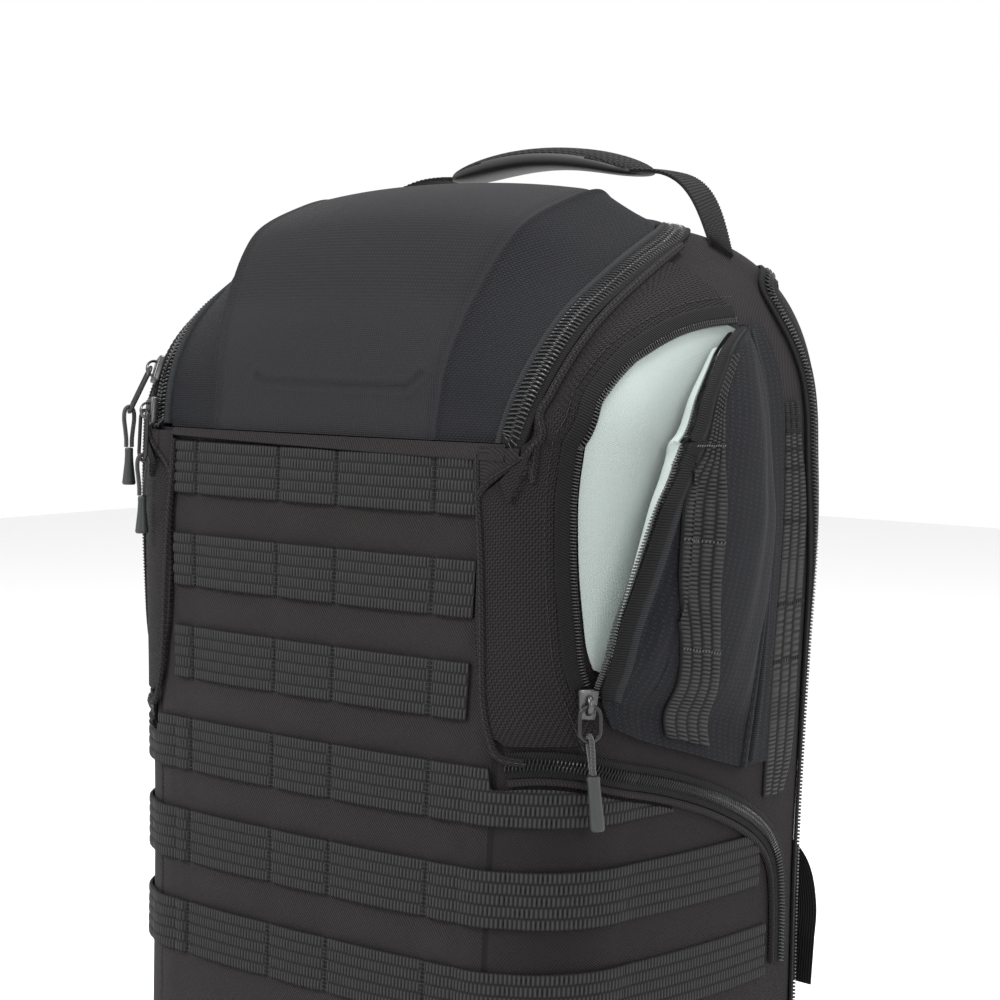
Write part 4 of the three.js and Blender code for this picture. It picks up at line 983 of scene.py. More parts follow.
def frontWebbing(row):
    top = rowTop(row)
    past = webbingSizes["reach"][row]
    at, distance = evenAround(top - 12, -past, past, webbingSizes["step"])
    flat = bodySection(1, top)[0]
    seams = webbingSeams()
    corner = np.interp(webbingSizes["sideSeams"], at, distance) if past > 1 else np.array([])
    stitched = np.sort(np.concatenate([-corner[::-1], [-flat], seams, [flat], corner]))
    k = np.clip(np.searchsorted(stitched, distance) - 1, 0, len(stitched) - 2)
    share = np.clip((distance - stitched[k]) / (stitched[k + 1] - stitched[k]), 0, 1)
    rise = webbingSizes["rise"] * np.sin(math.pi * share)**0.7 * (np.abs(at) < 2.1)
    pressed = np.exp(-(np.min(np.abs(distance[:, None] - seams), axis=1) / 1.3)**2)
    bands = webbingSizes["bands"]
    count = bandCount(bands)
    foot = top - webbingSizes["width"]
    head = np.maximum(np.minimum(top, doorEdge(at)), foot + 2)

    def grid(u, v):
        i = np.rint(u * (len(at) - 1)).astype(int)
        t, under, relief = bandRows(bands, v, distance[i])
        relief = relief * (1 - 0.75 * pressed[i])
        scallop = 0.25 * np.cos(2 * math.pi * distance[i] / webbingSizes["barPitch"]) - 0.5 * pressed[i]
        z = foot + t / bands * webbingSizes["width"]
        z = z + np.where(t <= 0, -scallop, np.where(t >= bands, scallop, 0))
        z = np.where(z > head[i], head[i] - (1 - t / bands) * 0.2, z)
        height = webbingSizes["gap"] + rise[i] + 0.85 + 0.8 * relief - 0.5 * pressed[i]
        height = np.where(under, webbingSizes["gap"] + rise[i] * 0.9, height)
        return at[i], z / form["hingeHeight"], height, relief

    def place(u, v):
        here, up, height, _relief = grid(u, v)
        return onBody(here, up, height)

    vv, uu = np.meshgrid(np.linspace(0, 1, count + 1), np.linspace(0, 1, len(at)), indexing="ij")
    return clothGrid(f"webbingRow{row + 1}", len(at) - 1, count, place, weld=True,
                     notes={"relief": grid(uu, vv)[3]}, angle=75)


for row in range(webbingSizes["rows"]):
    dressed(frontWebbing(row), "webbing", "webbing", f"front_webbing_{row + 1}")

hemSizes = {"left": 342.3, "right": 338.2, "top": 346.1, "from": -1.0, "to": 1.16}


def hingeHem():  # the folded edge that the lid is sewn into
    def place(u, v):
        at = lerp(hemSizes["from"], hemSizes["to"], u)
        low = lerp(hemSizes["left"], hemSizes["right"], u)
        z = lerp(low, hemSizes["top"], v)
        lift = lerp(4.1, 1.6, v) - 1.5 * np.exp(-v / 0.05) + 0.15 * ripple(u * 30, v * 3, 4)
        return onBody(at, z / form["hingeHeight"], lift)

    return clothGrid("hingeHem", 200, 16, place, wall=1.0)


dressed(hingeHem(), "shell", "shell_fabric")
stitch = template("stitch", length=2.3, width=0.55, height=0.6, segments=6, rings=4)


def rowSpots(at, up, lift):  # frames for stitches at places on the body
    _around, rise, out = bodySlopes(at, up)
    aside = unit(np.cross(out, rise))
    return {"place": onBody(at, up, lift), "forward": unit(rise), "aside": aside, "out": out}


def frontStitches():  # two columns of stitches hold each row down at every seam
    places = []
    for row in range(webbingSizes["rows"]):
        top = rowTop(row)
        flat = bodySection(1, top)[0]
        heights = np.linspace(top - webbingSizes["width"] + 1.2, top - 1.2, 13)
        for seam in webbingSeams():
            for aside in (-1.3, 1.3):
                places += [((seam + aside) / flat, z / form["hingeHeight"]) for z in heights]
    at, up = (np.array(values) for values in zip(*places))
    return repeated("frontStitches", stitch, rowSpots(at, up, np.full(len(at), 1.35)))


dressed(frontStitches(), "thread", "webbing")


def runOfStitches(name, path, pitch, aside, lift, mirror):
    line = bodyTrack(path, pitch)
    at, up = beside(line["at"], line["up"], line["aside"] * aside)
    spots = rowSpots(at, up, np.full(len(at), lift))
    forward = unit(np.gradient(spots["place"], axis=0))
    spots["aside"], spots["forward"] = forward, unit(np.cross(forward, spots["out"]))
    return dressed(repeated(name, stitch, spots, mirror), "thread", "shell_fabric")


print("lid")
lidSizes = {
    "wall": 2.5, "round": 0.16, "soft": 0.015, "ridge": 0.9, "groove": 0.9,
    "embossX": [-43, -37, 44, 54, 62], "embossZ": [26, 23, 22.5, 22.5, 28.6],
}


def embossed(point):  # how near a place is to the line pressed into the lid's front
    x, z = point[..., 0], point[..., 2] - form["hingeHeight"]
    lineX, lineZ = np.array(lidSizes["embossX"], float), np.array(lidSizes["embossZ"], float)
    nearest = np.full(x.shape, 1e9)
    for k in range(len(lineX) - 1):
        stepX, stepZ = lineX[k + 1] - lineX[k], lineZ[k + 1] - lineZ[k]
        t = np.clip(((x - lineX[k]) * stepX + (z - lineZ[k]) * stepZ) / (stepX**2 + stepZ**2), 0, 1)
        nearest = np.minimum(nearest, np.hypot(x - lineX[k] - t * stepX, z - lineZ[k] - t * stepZ))
    return nearest


def lidCloth():
    columns, rows = 220, 150
    inset = form["lidBand"] + 0.3

    def place(u, v):
        c = 2 * u - 1
        r = v
        near = 1 - lidSizes["round"]
        a = np.clip((np.abs(c) - near) / lidSizes["round"], 0, 1)
        b = np.clip((r - near) / lidSizes["round"], 0, 1)
        corner = (a > 0) & (b > 0)
        c = np.where(corner, np.sign(c) * (near + lidSizes["round"] * a * np.sqrt(1 - b * b / 2)), c)
        r = np.where(corner, near + lidSizes["round"] * b * np.sqrt(1 - a * a / 2), r)
        rear = reach(lambda s: lidPoint(s, c * 0.93), 1.0, 0.0, inset)
        start = 0.3 / form["lidRise"]
        lengthwise = lerp(start, rear, r)
        side = np.where(c < 0, -1.0, 1.0)
        edge = reach(lambda t: lidPoint(lengthwise, side * t), 1.0, 0.0, inset)
        crease = form["creaseShare"]
        past = crease + (np.abs(c) - crease) * (edge - crease) / (1 - crease)
        t = side * np.where(np.abs(c) > crease, past, np.abs(c))
        soft = lidSizes["soft"]
        point = (lidPoint(lengthwise, np.clip(t - soft, -1, 1)) + 2 * lidPoint(lengthwise, t)
                 + lidPoint(lengthwise, np.clip(t + soft, -1, 1))) / 4
        low = 0.6 * np.exp(-((v * 150) / 4)**2)
        line = embossed(point)
        pressed = lidSizes["groove"] * (np.exp(-(line / 1.3)**2) - 0.45 * np.exp(-((line - 3) / 1.6)**2))
        crest = np.abs(t) - form["creaseShare"]
        ridge = lidSizes["ridge"] * (np.exp(-(crest / 0.012)**2) - 0.8 * np.exp(-((crest + 0.03) / 0.016)**2))
        soft = 0.15 * ripple(t * 5, lengthwise * 7, 1)
        return point + lidOut(lengthwise, t) * (soft + ridge - low - pressed)[..., None]

    vv, uu = np.meshgrid(np.linspace(0, 1, rows + 1), np.linspace(-1, 1, columns + 1), indexing="ij")
    return clothGrid("lidCloth", columns, rows, place, wall=lidSizes["wall"],
                     notes={"lengthwise": vv, "across": uu})


def lidFinish():
    f = Finish("lidMoulded", Specular_IOR_Level=0.14)
    u, v = f.flat()
    lengthwise = f.note("lengthwise")
    across = f.note("across").maths("ABSOLUTE")
    stripes = u.wave(0.0016)
    dots = (u.wave(0.0018) * v.wave(0.0018)).between(0.35, 0.7)
    knit = (u.wave(0.0012) * 0.6 + v.wave(0.0009) * 0.4)
    high = lengthwise.between(0.52, 0.72)
    middle = lengthwise.between(0.3, 0.42)
    pebble = basket(f, 0.0011)
    facet = across.between(0.585, 0.605)
    centre = knit * (1 - middle) + (dots * (1 - high) + stripes * high) * middle
    height = centre * (1 - facet) + pebble * facet
    fine = f.noise(900, 2.0)
    broad = f.noise(9, 3.0)
    share = height * 0.5 + fine * 0.35 + broad * 0.2
    middleColour = f.tint(share, (0.004, 0.004, 0.0044), (0.025, 0.025, 0.0275))
    facetColour = f.tint(share, (0.0025, 0.0026, 0.0034), (0.0175, 0.018, 0.0215))
    colour = f.mix(facet, middleColour, facetColour)
    return f.wear(colour, 0.8 - broad * 0.1, height + fine * 0.4, 0.0003)


finishes["lid"] = lidFinish()
dressed(lidCloth(), "lid", "lid_fabric", "lid_shell")


def rimFrames(pitch):  # even stations along the lid's rim, with its corners rounded
    dense = np.linspace(form["hingeEnd"], 10 - form["hingeEnd"], 2400)
    rim = rimPoint(dense)
    down = unit(bodyPoint(dense, belowRim(dense, 5.0)) - rim)
    inner, outLid = insideRim(dense, 5.0)
    inward = unit(inner - rim)
    outBody = bodySlopes(dense, np.full(len(dense), 1.99))[2]
    length = np.concatenate([[0], np.cumsum(np.linalg.norm(np.diff(rim, axis=0), axis=1))])
    even = np.linspace(0, length[-1], int(round(length[-1] / 0.5)) + 1)
    values = np.concatenate([rim, down, inward, outBody, outLid], axis=1)
    values = np.stack([np.interp(even, length, column) for column in values.T], -1)
    values = np.stack([evened(column, 14) for column in values.T], -1)
    picks = np.arange(0, len(values) - 1, pitch / 0.5)
    whole = np.arange(len(values))
    values = np.stack([np.interp(picks, whole, column) for column in values.T], -1)
    rim, down, inward, outBody, outLid = (values[:, 3 * k:3 * k + 3] for k in range(5))
    return {"rim": rim, "down": unit(down), "inward": unit(inward), "body": unit(outBody),
            "lid": unit(outLid)}


def bandPoint(frames, i, aside, lift):  # aside is negative below the rim and positive on the lid
    turn = ease(-3.5, 3.5, aside)[..., None]
    below, above = frames["down"][i] * -aside[..., None], frames["inward"][i] * aside[..., None]
    step = np.where((aside < 0)[..., None], below, above)
    out = unit(lerp(frames["body"][i], frames["lid"][i], turn))
    return frames["rim"][i] + step + out * lift[..., None]


def bandStrip(name, frames, profile, angle=60):
    profile = np.array([*profile, profile[0]], float)
    count = len(frames["rim"]) - 1

    def place(u, v):
        i = np.rint(u * count).astype(int)
        j = np.rint(v * (len(profile) - 1)).astype(int)
        return bandPoint(frames, i, profile[j][..., 0], profile[j][..., 1])

    return clothGrid(name, count, len(profile) - 1, place, weld=True, angle=angle)


lidToothPitch = 2.0
rimSteps = rimFrames(lidToothPitch)
tapePiece = bandStrip("lidZipperTape", rimSteps, rounded(-7.5, -3.2, 0.8, 2.0, 0.4))
dressed(tapePiece, "tape", "zipper", "lid_zipper")
dressed(bandStrip("lidZipperCore", rimSteps, rounded(-3.4, 4.0, 0.2, 1.7, 0.4)), "tape", "zipper")
pipingProfile = halfRound(5.7, 2.1, 0.4, 2.0, 9)
lidPiping = bandStrip("lidZipperPiping", rimSteps, [(3.6, -1.0), *pipingProfile, (7.8, -1.0)])
dressed(lidPiping, "binding", "zipper")

zeros = np.zeros(len(rimSteps["rim"]))
toothTrack = track(bandPoint(rimSteps, np.arange(len(zeros)), zeros, zeros + 1.9),
                   unit(rimSteps["body"] + rimSteps["lid"]))
toothTrack["aside"] = unit(rimSteps["inward"] - rimSteps["down"])
bigTooth = template("bigTooth", length=5.6, width=1.15, height=1.7, segments=7, rings=6, slant=0.18, bow=0.7)
bigToothOver = flipY(bigTooth, "bigToothOver")
templates.append(bigToothOver)
dressed(repeated("lidCoilOuter", bigTooth, shifted(toothTrack, aside=-1.9)), "coil", "zipper")
dressed(repeated("lidCoilInner", bigToothOver, shifted(toothTrack, forward=1.0, aside=1.9)), "coil", "zipper")

print("side pocket")


def between(start, stop, share):  # a place part of the way from one to another
    return tuple(lerp(a, b, share) for a, b in zip(start, stop))


def pocketPatch(name, columns, rows, start, stop, lift, wall, mirror=False, wrinkle=0.0):
    def place(u, v):
        fromAt, fromUp = start(v)
        toAt, toUp = stop(v)
        at, up = lerp(fromAt, toAt, u), lerp(fromUp, toUp, u)
        soft = wrinkle * ripple(u * 5, v * 9, 3)
        return onBody(at, up, lift + soft)

    return clothGrid(name, columns, rows, place, wall=wall, mirror=mirror)


for side, mirror in (("right", False), ("left", True)):
    piece = pocketPatch(f"gussetCloth_{side}", 44, 200, outlineSeam, lambda v: outlineChain(v, -0.01),
                        lift=2.6, wall=1.8, mirror=mirror, wrinkle=0.2)
    dressed(piece, "gusset", "shell_fabric", f"gusset_{side}")
    cutSheet(piece, "stretched", bodyPiece)
liningPiece = pocketPatch(
    "pocketLiningCloth", 60, 110, lambda v: outlineChain(lerp(0.1, 0.95, v), 0.05),
    lambda v: between(outlineChain(lerp(0.1, 0.95, v), 0.05), foldPlace(lerp(0.1, 0.95, v)), 0.99),
    lift=1.6, wall=0.8, wrinkle=0.25)
dressed(liningPiece, "lining", "lining", "pocket_lining")
cutSheet(liningPiece, "stretched", bodyPiece)


# Dents and folds in the open pocket's panel: place, reach both ways and depth
panelDents = [(0.33, 0.87, 0.07, 0.06, 2.6), (0.24, 0.8, 0.05, 0.05, -1.0), (0.5, 0.24, 0.22, 0.05, 1.6),
              (0.42, 0.12, 0.25, 0.04, -1.2), (0.72, 0.3, 0.1, 0.06, 1.2)]


def panelSheet(name, columns, rows, start, stop, curve, ways, lift, wall, wrinkle=0.0):
    def place(u, v):
        share, way = lerp(start, stop, v), lerp(ways[0], ways[1], u)
        soft = wrinkle * ripple(u * 6, v * 10, 5) * np.sin(math.pi * u) * np.sin(math.pi * v)
        for atShare, atWay, long, wide, depth in panelDents:
            soft = soft - depth * np.exp(-((share - atShare) / long)**2 - ((way - atWay) / wide)**2)
        return onPanel(share, way, curve, lift + soft)

    return clothGrid(name, columns, rows, place, wall=wall)


panelPiece = panelSheet("pocketPanelCloth", 64, 130, 0, 1, panelCurve, (1, 0), lift=1.6, wall=1.5,
                        wrinkle=0.5)
dressed(panelPiece, "panel", "pocket_fabric", "pocket_panel")
cutSheet(panelPiece, "hung", bodyPiece)
panelLining = panelSheet("panelLiningCloth", 60, 100, 0.2, 0.9, liningCurve, (0.985, 0.1), lift=-0.4,
                         wall=0.8, wrinkle=0.5)
dressed(panelLining, "lining", "lining", "pocket_panel_lining")
cutSheet(panelLining, "hung", panelPiece)

chainPath = {"at": pocketOutline["chainAt"], "up": pocketOutline["chainUp"]}
fixedLine = bodyTrack(chainPath, 1.5, 0.105, 0.99)
dressed(bodyStrip("pocketTapeFixed", fixedLine, tapeProfile(-0.6, "onPocket")), "tape", "zipper",
        "pocket_chain_fixed")
smallTooth = template("smallTooth", length=3.4, width=0.95, height=1.7, slant=0.12, bow=0.3)
fixedTeeth = bodyTrack(chainPath, 1.4, 0.105, 0.99, 3.4)
dressed(repeated("pocketTeethFixed", smallTooth, shifted(fixedTeeth, aside=-1.7)), "coil", "zipper")


def perLengthAt(share):  # the way over the panel's edge that a millimetre takes
    edge = onPanel(share, 1.0 + 0 * share, panelCurve, 0)
    inner = onPanel(share, 0.9 + 0 * share, panelCurve, 0)
    return 0.1 / np.linalg.norm(edge - inner, axis=-1)


def panelEdgeLine(pitch, start=0.09, stop=0.97):
    point = lambda s: onPanel(lerp(start, stop, s), 1.0 + 0 * s, panelCurve, 0)
    even = evenShares(point, pitch, 500)
    share = lerp(start, stop, even)
    return share, perLengthAt(share)


def panelStrip(name, pitch, profile, angle=60):  # a closed profile along the free edge of the panel
    share, perLength = panelEdgeLine(pitch)
    profile = np.array([*profile, profile[0]], float)

    def place(u, v):
        i = np.rint(u * (len(share) - 1)).astype(int)
        j = np.rint(v * (len(profile) - 1)).astype(int)
        way = 1 + profile[j][..., 0] * perLength[i]
        return onPanel(share[i], way, panelCurve, profile[j][..., 1])

    return clothGrid(name, len(share) - 1, len(profile) - 1, place, weld=True, angle=angle)


freeProfile = [(-5.5, 1.9), (-5.5, 2.9), (-3, 3.1), (0.3, 3.1), (0.9, 2.4), (0.9, 1.9)]
dressed(panelStrip("pocketTapeFree", 1.5, freeProfile), "tape", "zipper", "pocket_chain_free")
bandProfile = [(-9.5, 1.7), (-9.5, 2.3), (-8, 2.6), (-6, 2.6), (-5.2, 2.2), (-5.2, 1.7)]
dressed(panelStrip("panelBinding", 1.5, bandProfile), "binding", "pocket_fabric")
share, perLength = panelEdgeLine(1.4)
edgePoints = onPanel(share, 1 + 2.2 * perLength, panelCurve, 1.2)
edgeInner = onPanel(share, 1 - 2 * perLength, panelCurve, 1.2)
freeTeeth = track(edgePoints, unit(np.cross(np.gradient(edgePoints, axis=0), edgeInner - edgePoints)))
freeTeeth["out"] = unit(np.cross(np.gradient(edgePoints, axis=0), edgeInner - edgePoints)) * -1
freeTeeth["aside"] = unit(edgeInner - edgePoints)
dressed(repeated("pocketTeethFree", smallTooth, shifted(freeTeeth)), "coil", "zipper")


# The webbing stands upright on the slanted panel and runs in under its chain's tape
pocketWebbingRows = {
    "share": [0, 0.18, 0.28, 0.4, 0.54, 0.67, 0.85],
    "front": [0.58, 0.61, 0.685, 0.84, 0.955, 0.95, 0.95],
    "rear": [0.27, 0.37, 0.464, 0.57, 0.655, 0.78, 0.8],
}


def pocketWebbing():
    line = lambda s: onPanel(lerp(0.03, 0.833, s), 0.4 + 0 * s, panelCurve, 0)
    share = lerp(0.03, 0.833, evenShares(line, 0.5, 500))
    perLength = perLengthAt(share)
    rows = pocketWebbingRows
    front = evened(np.minimum(smooth(rows["share"], rows["front"], share), 1 - 7.5 * perLength))
    rear = evened(np.minimum(smooth(rows["share"], rows["rear"], share), front - 5 * perLength))
    length = np.arange(len(share)) * 0.5
    bands = 4
    count = bandCount(bands)

    def grid(u, v):
        i = np.rint(v * (len(share) - 1)).astype(int)
        t, under, relief = bandRows(bands, u, length[i])
        way = lerp(front[i], rear[i], t / bands)
        height = np.where(under, 2.4, 3.2 + 0.8 * relief)
        return share[i], way, height, relief

    def place(u, v):
        here, way, height, _relief = grid(u, v)
        return onPanel(here, way, panelCurve, height)

    vv, uu = np.meshgrid(np.linspace(0, 1, len(share)), np.linspace(0, 1, count + 1), indexing="ij")
    return clothGrid("pocketWebbingStrip", count, len(share) - 1, place, weld=True,
                     notes={"relief": grid(uu, vv)[3]}, angle=75)


dressed(pocketWebbing(), "webbing", "webbing", "pocket_webbing")

closedPiece = pocketPatch(
    "closedPocketCloth", 60, 120, lambda v: outlineChain(lerp(0.02, 0.94, v), 0.04),
    lambda v: between(outlineChain(lerp(0.02, 0.94, v), 0.04), foldPlace(lerp(0.02, 0.94, v)), 0.985),
    lift=2.4, wall=1.6, mirror=True, wrinkle=0.5)
dressed(closedPiece, "panel", "pocket_fabric", "closed_pocket_panel")
cutSheet(closedPiece, "stretched", bodyPiece)


def coilOn(name, path, pitch, lift, start=0.0, stop=1.0, mirror=False):
    line = bodyTrack(path, pitch, start, stop, lift)
    dressed(repeated(name + "Outer", coilTooth, shifted(line, aside=-1.0), mirror), "coil", "zipper")
    inner = shifted(line, forward=pitch / 2, aside=1.0)
    dressed(repeated(name + "Inner", coilTooth, inner, mirror), "coil", "zipper")


coilTooth = template("coilTooth", length=3.2, width=0.85, height=1.3, rings=4, slant=0.15, bow=0.3)
closedLine = bodyTrack(chainPath, 2.5, 0.1, 0.97)
closedProfile = tapeProfile(-tapeSizes["half"], "onPocket")
closedTape = bodyStrip("closedPocketTape", closedLine, closedProfile, mirror=True)
dressed(closedTape, "tape", "zipper", "closed_pocket_chain")
coilOn("closedPocketCoil", chainPath, 1.6, 4.6, 0.1, 0.97, True)

for side, mirror in (("right", False), ("left", True)):
    piece = pocketPatch(f"sidePanelCloth_{side}", 14, 110,
                        lambda v: between(foldPlace(v), (2.78, foldPlace(v)[1]), 0.1),
                        lambda v: (2.78 + 0 * v, foldPlace(v)[1]),
                        lift=2.3, wall=2, mirror=mirror, wrinkle=0.3)
    dressed(piece, "panel", "pocket_fabric", f"side_panel_{side}")
    cutSheet(piece, "stretched", bodyPiece)

sideRows = {"rear": [2.94, 3, 2.98, 2.96, 2.92, 2.91], "up": [0.52, 0.6, 0.85, 0.93, 1, 1.1]}


def sideWebbing(side, mirror):
    steps = 420
    bands = 3
    count = bandCount(bands)

    def grid(u, v):
        up = along(sideRows["up"], v)
        t, under, relief = bandRows(bands, u, up * form["hingeHeight"])
        at = lerp(2.79, along(sideRows["rear"], v), t / bands)
        return at, up, np.where(under, 0.4, 1.2 + 0.8 * relief), relief

    def place(u, v):
        at, up, height, _relief = grid(u, v)
        return onBody(at, up, height)

    vv, uu = np.meshgrid(np.linspace(0, 1, steps + 1), np.linspace(0, 1, count + 1), indexing="ij")
    return clothGrid(f"sideWebbingStrip_{side}", count, steps, place, weld=True, mirror=mirror,
                     notes={"relief": grid(uu, vv)[3]}, angle=75)


for side, mirror in (("right", False), ("left", True)):
    dressed(sideWebbing(side, mirror), "webbing", "webbing", f"side_webbing_{side}")

print("seams and edges")
rimPlaces = [1.45, 1.6, 1.8, 2.0, 2.25, 2.5, 2.75, 2.95]
gussetSeams = {
    "front": {"at": [1.36, 1.233, 1.176, 1.129, 1.099, 1.058, 1.02, 1.008],
              "up": [0.614, 0.619, 0.643, 0.685, 0.759, 0.857, 0.935, 0.985]},
    "top": {"at": [1.012, 1.06, 1.117, 1.218, 1.271, 1.347, *rimPlaces],
            "up": [0.93, 0.946, 0.957, 0.971, 0.981, 1.004, *[float(belowRim(a, 11.0)) for a in rimPlaces]]},
}


def zipperTab(side, mirror):  # the cloth between the zipper's lower end and the gusset
    def place(u, v):
        at = lerp(1.0, 1.24, u)
        low = smooth(gussetSeams["top"]["at"], gussetSeams["top"]["up"], at) + 0.004
        return onBody(at, lerp(low, 0.995, v), 2.9 + 0.2 * ripple(u * 4, v * 4, 6))

    return clothGrid(f"zipperTab_{side}", 24, 16, place, wall=1.2, mirror=mirror)


foldPath = {"at": pocketPanelRows["foldAt"], "up": pocketPanelRows["foldUp"]}
edgePath = {
    "at": [2.667, 2.696, 2.705, 2.676, 2.647, 2.649, 2.68],
    "up": [0.576, 0.654, 0.76, 0.878, 0.982, 1.272, 1.4],
}
for side, mirror in (("right", False), ("left", True)):
    dressed(zipperTab(side, mirror), "shell", "shell_fabric")
    lap = [(-0.4, 2.2), (-0.4, 3.2), (0.5, 3.8), (2.4, 3.7), (3.2, 2.8), (3.2, 2.2)]
    for part, seam in gussetSeams.items():
        strip = bodyStrip(f"gussetLap_{part}_{side}", bodyTrack(seam, 2.0), lap, mirror)
        dressed(strip, "gusset", "shell_fabric")
        runOfStitches(f"gussetStitches_{part}_{side}", seam, pitch=3.0, aside=1.6, lift=3.7,
                      mirror=mirror)
    runOfStitches(f"pocketStitches_{side}", chainPath, pitch=3.0, aside=9.5, lift=2.75, mirror=mirror)
    roll = halfRound(0, 3.2, 1.6, 3.4, 10)
    dressed(bodyStrip(f"panelRoll_{side}", bodyTrack(foldPath, 3.0), roll, mirror), "panel", "pocket_fabric")
    bound = halfRound(0, 1.6, 2.2, 1.9, 8)
    edging = bodyStrip(f"boundEdge_{side}", bodyTrack(edgePath, 3.0), bound, mirror)
    dressed(edging, "binding", "pocket_fabric")
    bars = [(a, u) for u in (1.05, 1.01, 0.98, 0.955, 0.885, 0.776, 0.7)
            for a in np.linspace(2.8, float(smooth(sideRows["up"], sideRows["rear"], u)) - 0.01, 12)]
    at, up = (np.array(values) for values in zip(*bars))
    spots = rowSpots(at, up, np.full(len(at), 1.9))
    spots["forward"], spots["aside"] = spots["aside"], -spots["forward"]
    dressed(repeated(f"sideBars_{side}", stitch, spots, mirror), "thread", "webbing")


tackStitch = template("tackStitch", length=1.2, width=0.6, height=0.6, segments=6, rings=4)


def pocketBars():  # rows of pale stitches across the pocket's webbing
    share = np.repeat([0.6, 0.425, 0.25], 13)
    t = np.tile(np.linspace(0.04, 0.96, 13), 3)
    rows = pocketWebbingRows
    front, rear = smooth(rows["share"], rows["front"], share), smooth(rows["share"], rows["rear"], share)
    way = lerp(np.minimum(front, 0.93), rear, t)
    point = onPanel(share, way, panelCurve, 3.95)
    rise = unit(onPanel(share + 0.01, way, panelCurve, 3.95) - point)
    over = unit(onPanel(share, way - 0.01, panelCurve, 3.95) - point)
    return {"place": point, "forward": over, "aside": rise, "out": unit(np.cross(over, rise))}


dressed(repeated("pocketBars", tackStitch, pocketBars()), "paleThread", "webbing")

print("zippers")
for side, mirror in (("right", False), ("left", True)):
    line = bodyTrack(doorPath, 2.5)
    tape = bodyStrip(f"doorTape_{side}", line, tapeProfile(-tapeSizes["half"], "onCloth"), mirror)
    dressed(tape, "tape", "zipper", f"door_zipper_{side}")
    piping = halfRound(-7.4, 1.7, 0.9, 1.9, 8)
    dressed(bodyStrip(f"doorPiping_{side}", line, piping, mirror), "shell", "zipper")
    coilOn(f"doorCoil_{side}", doorPath, 1.6, 2.6, mirror=mirror)

wholeMain = {"at": mainPath["at"] + [10 - a for a in mainPath["at"][-2::-1]],
             "up": mainPath["up"] + mainPath["up"][-2::-1]}
mainLine = bodyTrack(wholeMain, 3.0)
mainTape = bodyStrip("mainTape", mainLine, tapeProfile(-tapeSizes["half"], "onCloth"))
dressed(mainTape, "tape", "zipper", "main_zipper")
coilOn("mainCoil", wholeMain, 1.7, 2.5)

print("handle")
handleSizes = {"half": 61, "width": 30, "thickness": 11, "above": 14.5, "fromBack": 28, "sag": 9, "arch": 11,
               "rearAt": 3.14, "rearUp": 1.75, "frontAt": 3.2, "frontUp": 1.86, "wall": 1.5}
gripTop = form["hingeHeight"] + form["lidRise"] + handleSizes["above"]
gripDepth = form["bodyDepth"] - handleSizes["fromBack"]


def grip():
    def place(u, v):
        share = 2 * u - 1
        turn = v * 2 * math.pi
        taper = 1 - 0.55 * np.abs(share)**4
        close = np.sqrt(np.clip(1 - np.abs(share)**14, 0, 1))
        half = handleSizes["thickness"] / 2 * taper * close
        wide = handleSizes["width"] / 2 * (1 - 0.06 * share**2) * close
        rim = 1 + 0.12 * np.abs(np.cos(turn))**8
        x = handleSizes["half"] * share
        y = gripDepth + wide * np.sign(np.cos(turn)) * np.abs(np.cos(turn))**0.8
        height = half * np.sign(np.sin(turn)) * np.abs(np.sin(turn))**0.75 * rim
        z = gripTop - handleSizes["sag"] * share**2 + height
        return vec(x, y, z)

    return clothGrid("gripRubberShell", 90, 48, place, weld=True, angle=60)


gripPiece = dressed(grip(), "grip", "grip", "handle_grip")
gripPiece.data.materials.append(finishes["mesh"].material)
for face in gripPiece.data.polygons:
    face.material_index = 1 if face.normal.z < -0.35 else 0


def handleLeg(side, mirror):
    end = handleSizes["half"] + 0.6

    def gripEnd(way):
        return np.array([end, gripDepth + way * handleSizes["width"] * 0.47, gripTop - handleSizes["sag"]])

    footRear = onBody(handleSizes["rearAt"], handleSizes["rearUp"], 0.3)
    footFront = onBody(handleSizes["frontAt"], handleSizes["frontUp"], 0.3)

    def edge(start, foot, way):
        arch = np.sin(math.pi * way)
        return lerp(start, foot, way[..., None]) + vec(0 * arch, 0.7 * handleSizes["arch"] * arch,
                                                       handleSizes["arch"] * arch)

    def rear(k):
        return edge(gripEnd(1), footRear, 1 - (1 - k)**1.3)

    def front(k):
        return edge(gripEnd(-1), footFront, 1 - (1 - k)**2)

    steps, count = 200, 12

    def place(k, v):
        j = np.rint(v * (count + 3)).astype(int)
        under = (j == count + 1) | (j == count + 2)
        t = np.where(j <= count, j / count, np.where(j == count + 1, 1.0, 0.0))
        middle = lambda x: (rear(x) + front(x)) / 2
        ahead = middle(np.minimum(k + probe, 1)) - middle(np.maximum(k - probe, 0))
        out = unit(np.cross(ahead, rear(k) - front(k)))
        crown = 0.35 * np.sin(math.pi * t) + 0.25 * np.cos(2 * math.pi * k * steps / 5)
        lift = np.where(under, 0.0, handleSizes["wall"] + crown)
        return lerp(front(k), rear(k), t[..., None]) + out * lift[..., None]

    return clothGrid(f"handleLegWebbing_{side}", steps, count + 3, place, weld=True, mirror=mirror)


for side, mirror in (("right", False), ("left", True)):
    dressed(handleLeg(side, mirror), "ribbed", "webbing", f"handle_webbing_{side}")

print("back and harness")
backSizes = {"plateInset": 21, "plateFoot": 40, "plateAbove": 88, "plateThickness": 12,
             "pad": 9, "strapWidth": 62, "strapThickness": 10, "strapStand": 20, "webbing": 25}
plateHalf = form["halfWidth"] - backSizes["plateInset"]
plateTop = form["hingeHeight"] + backSizes["plateAbove"]


def plateFace(z):
    return form["bodyDepth"] + 0.9 + (z - 0.92 * form["hingeHeight"]) * 0.014


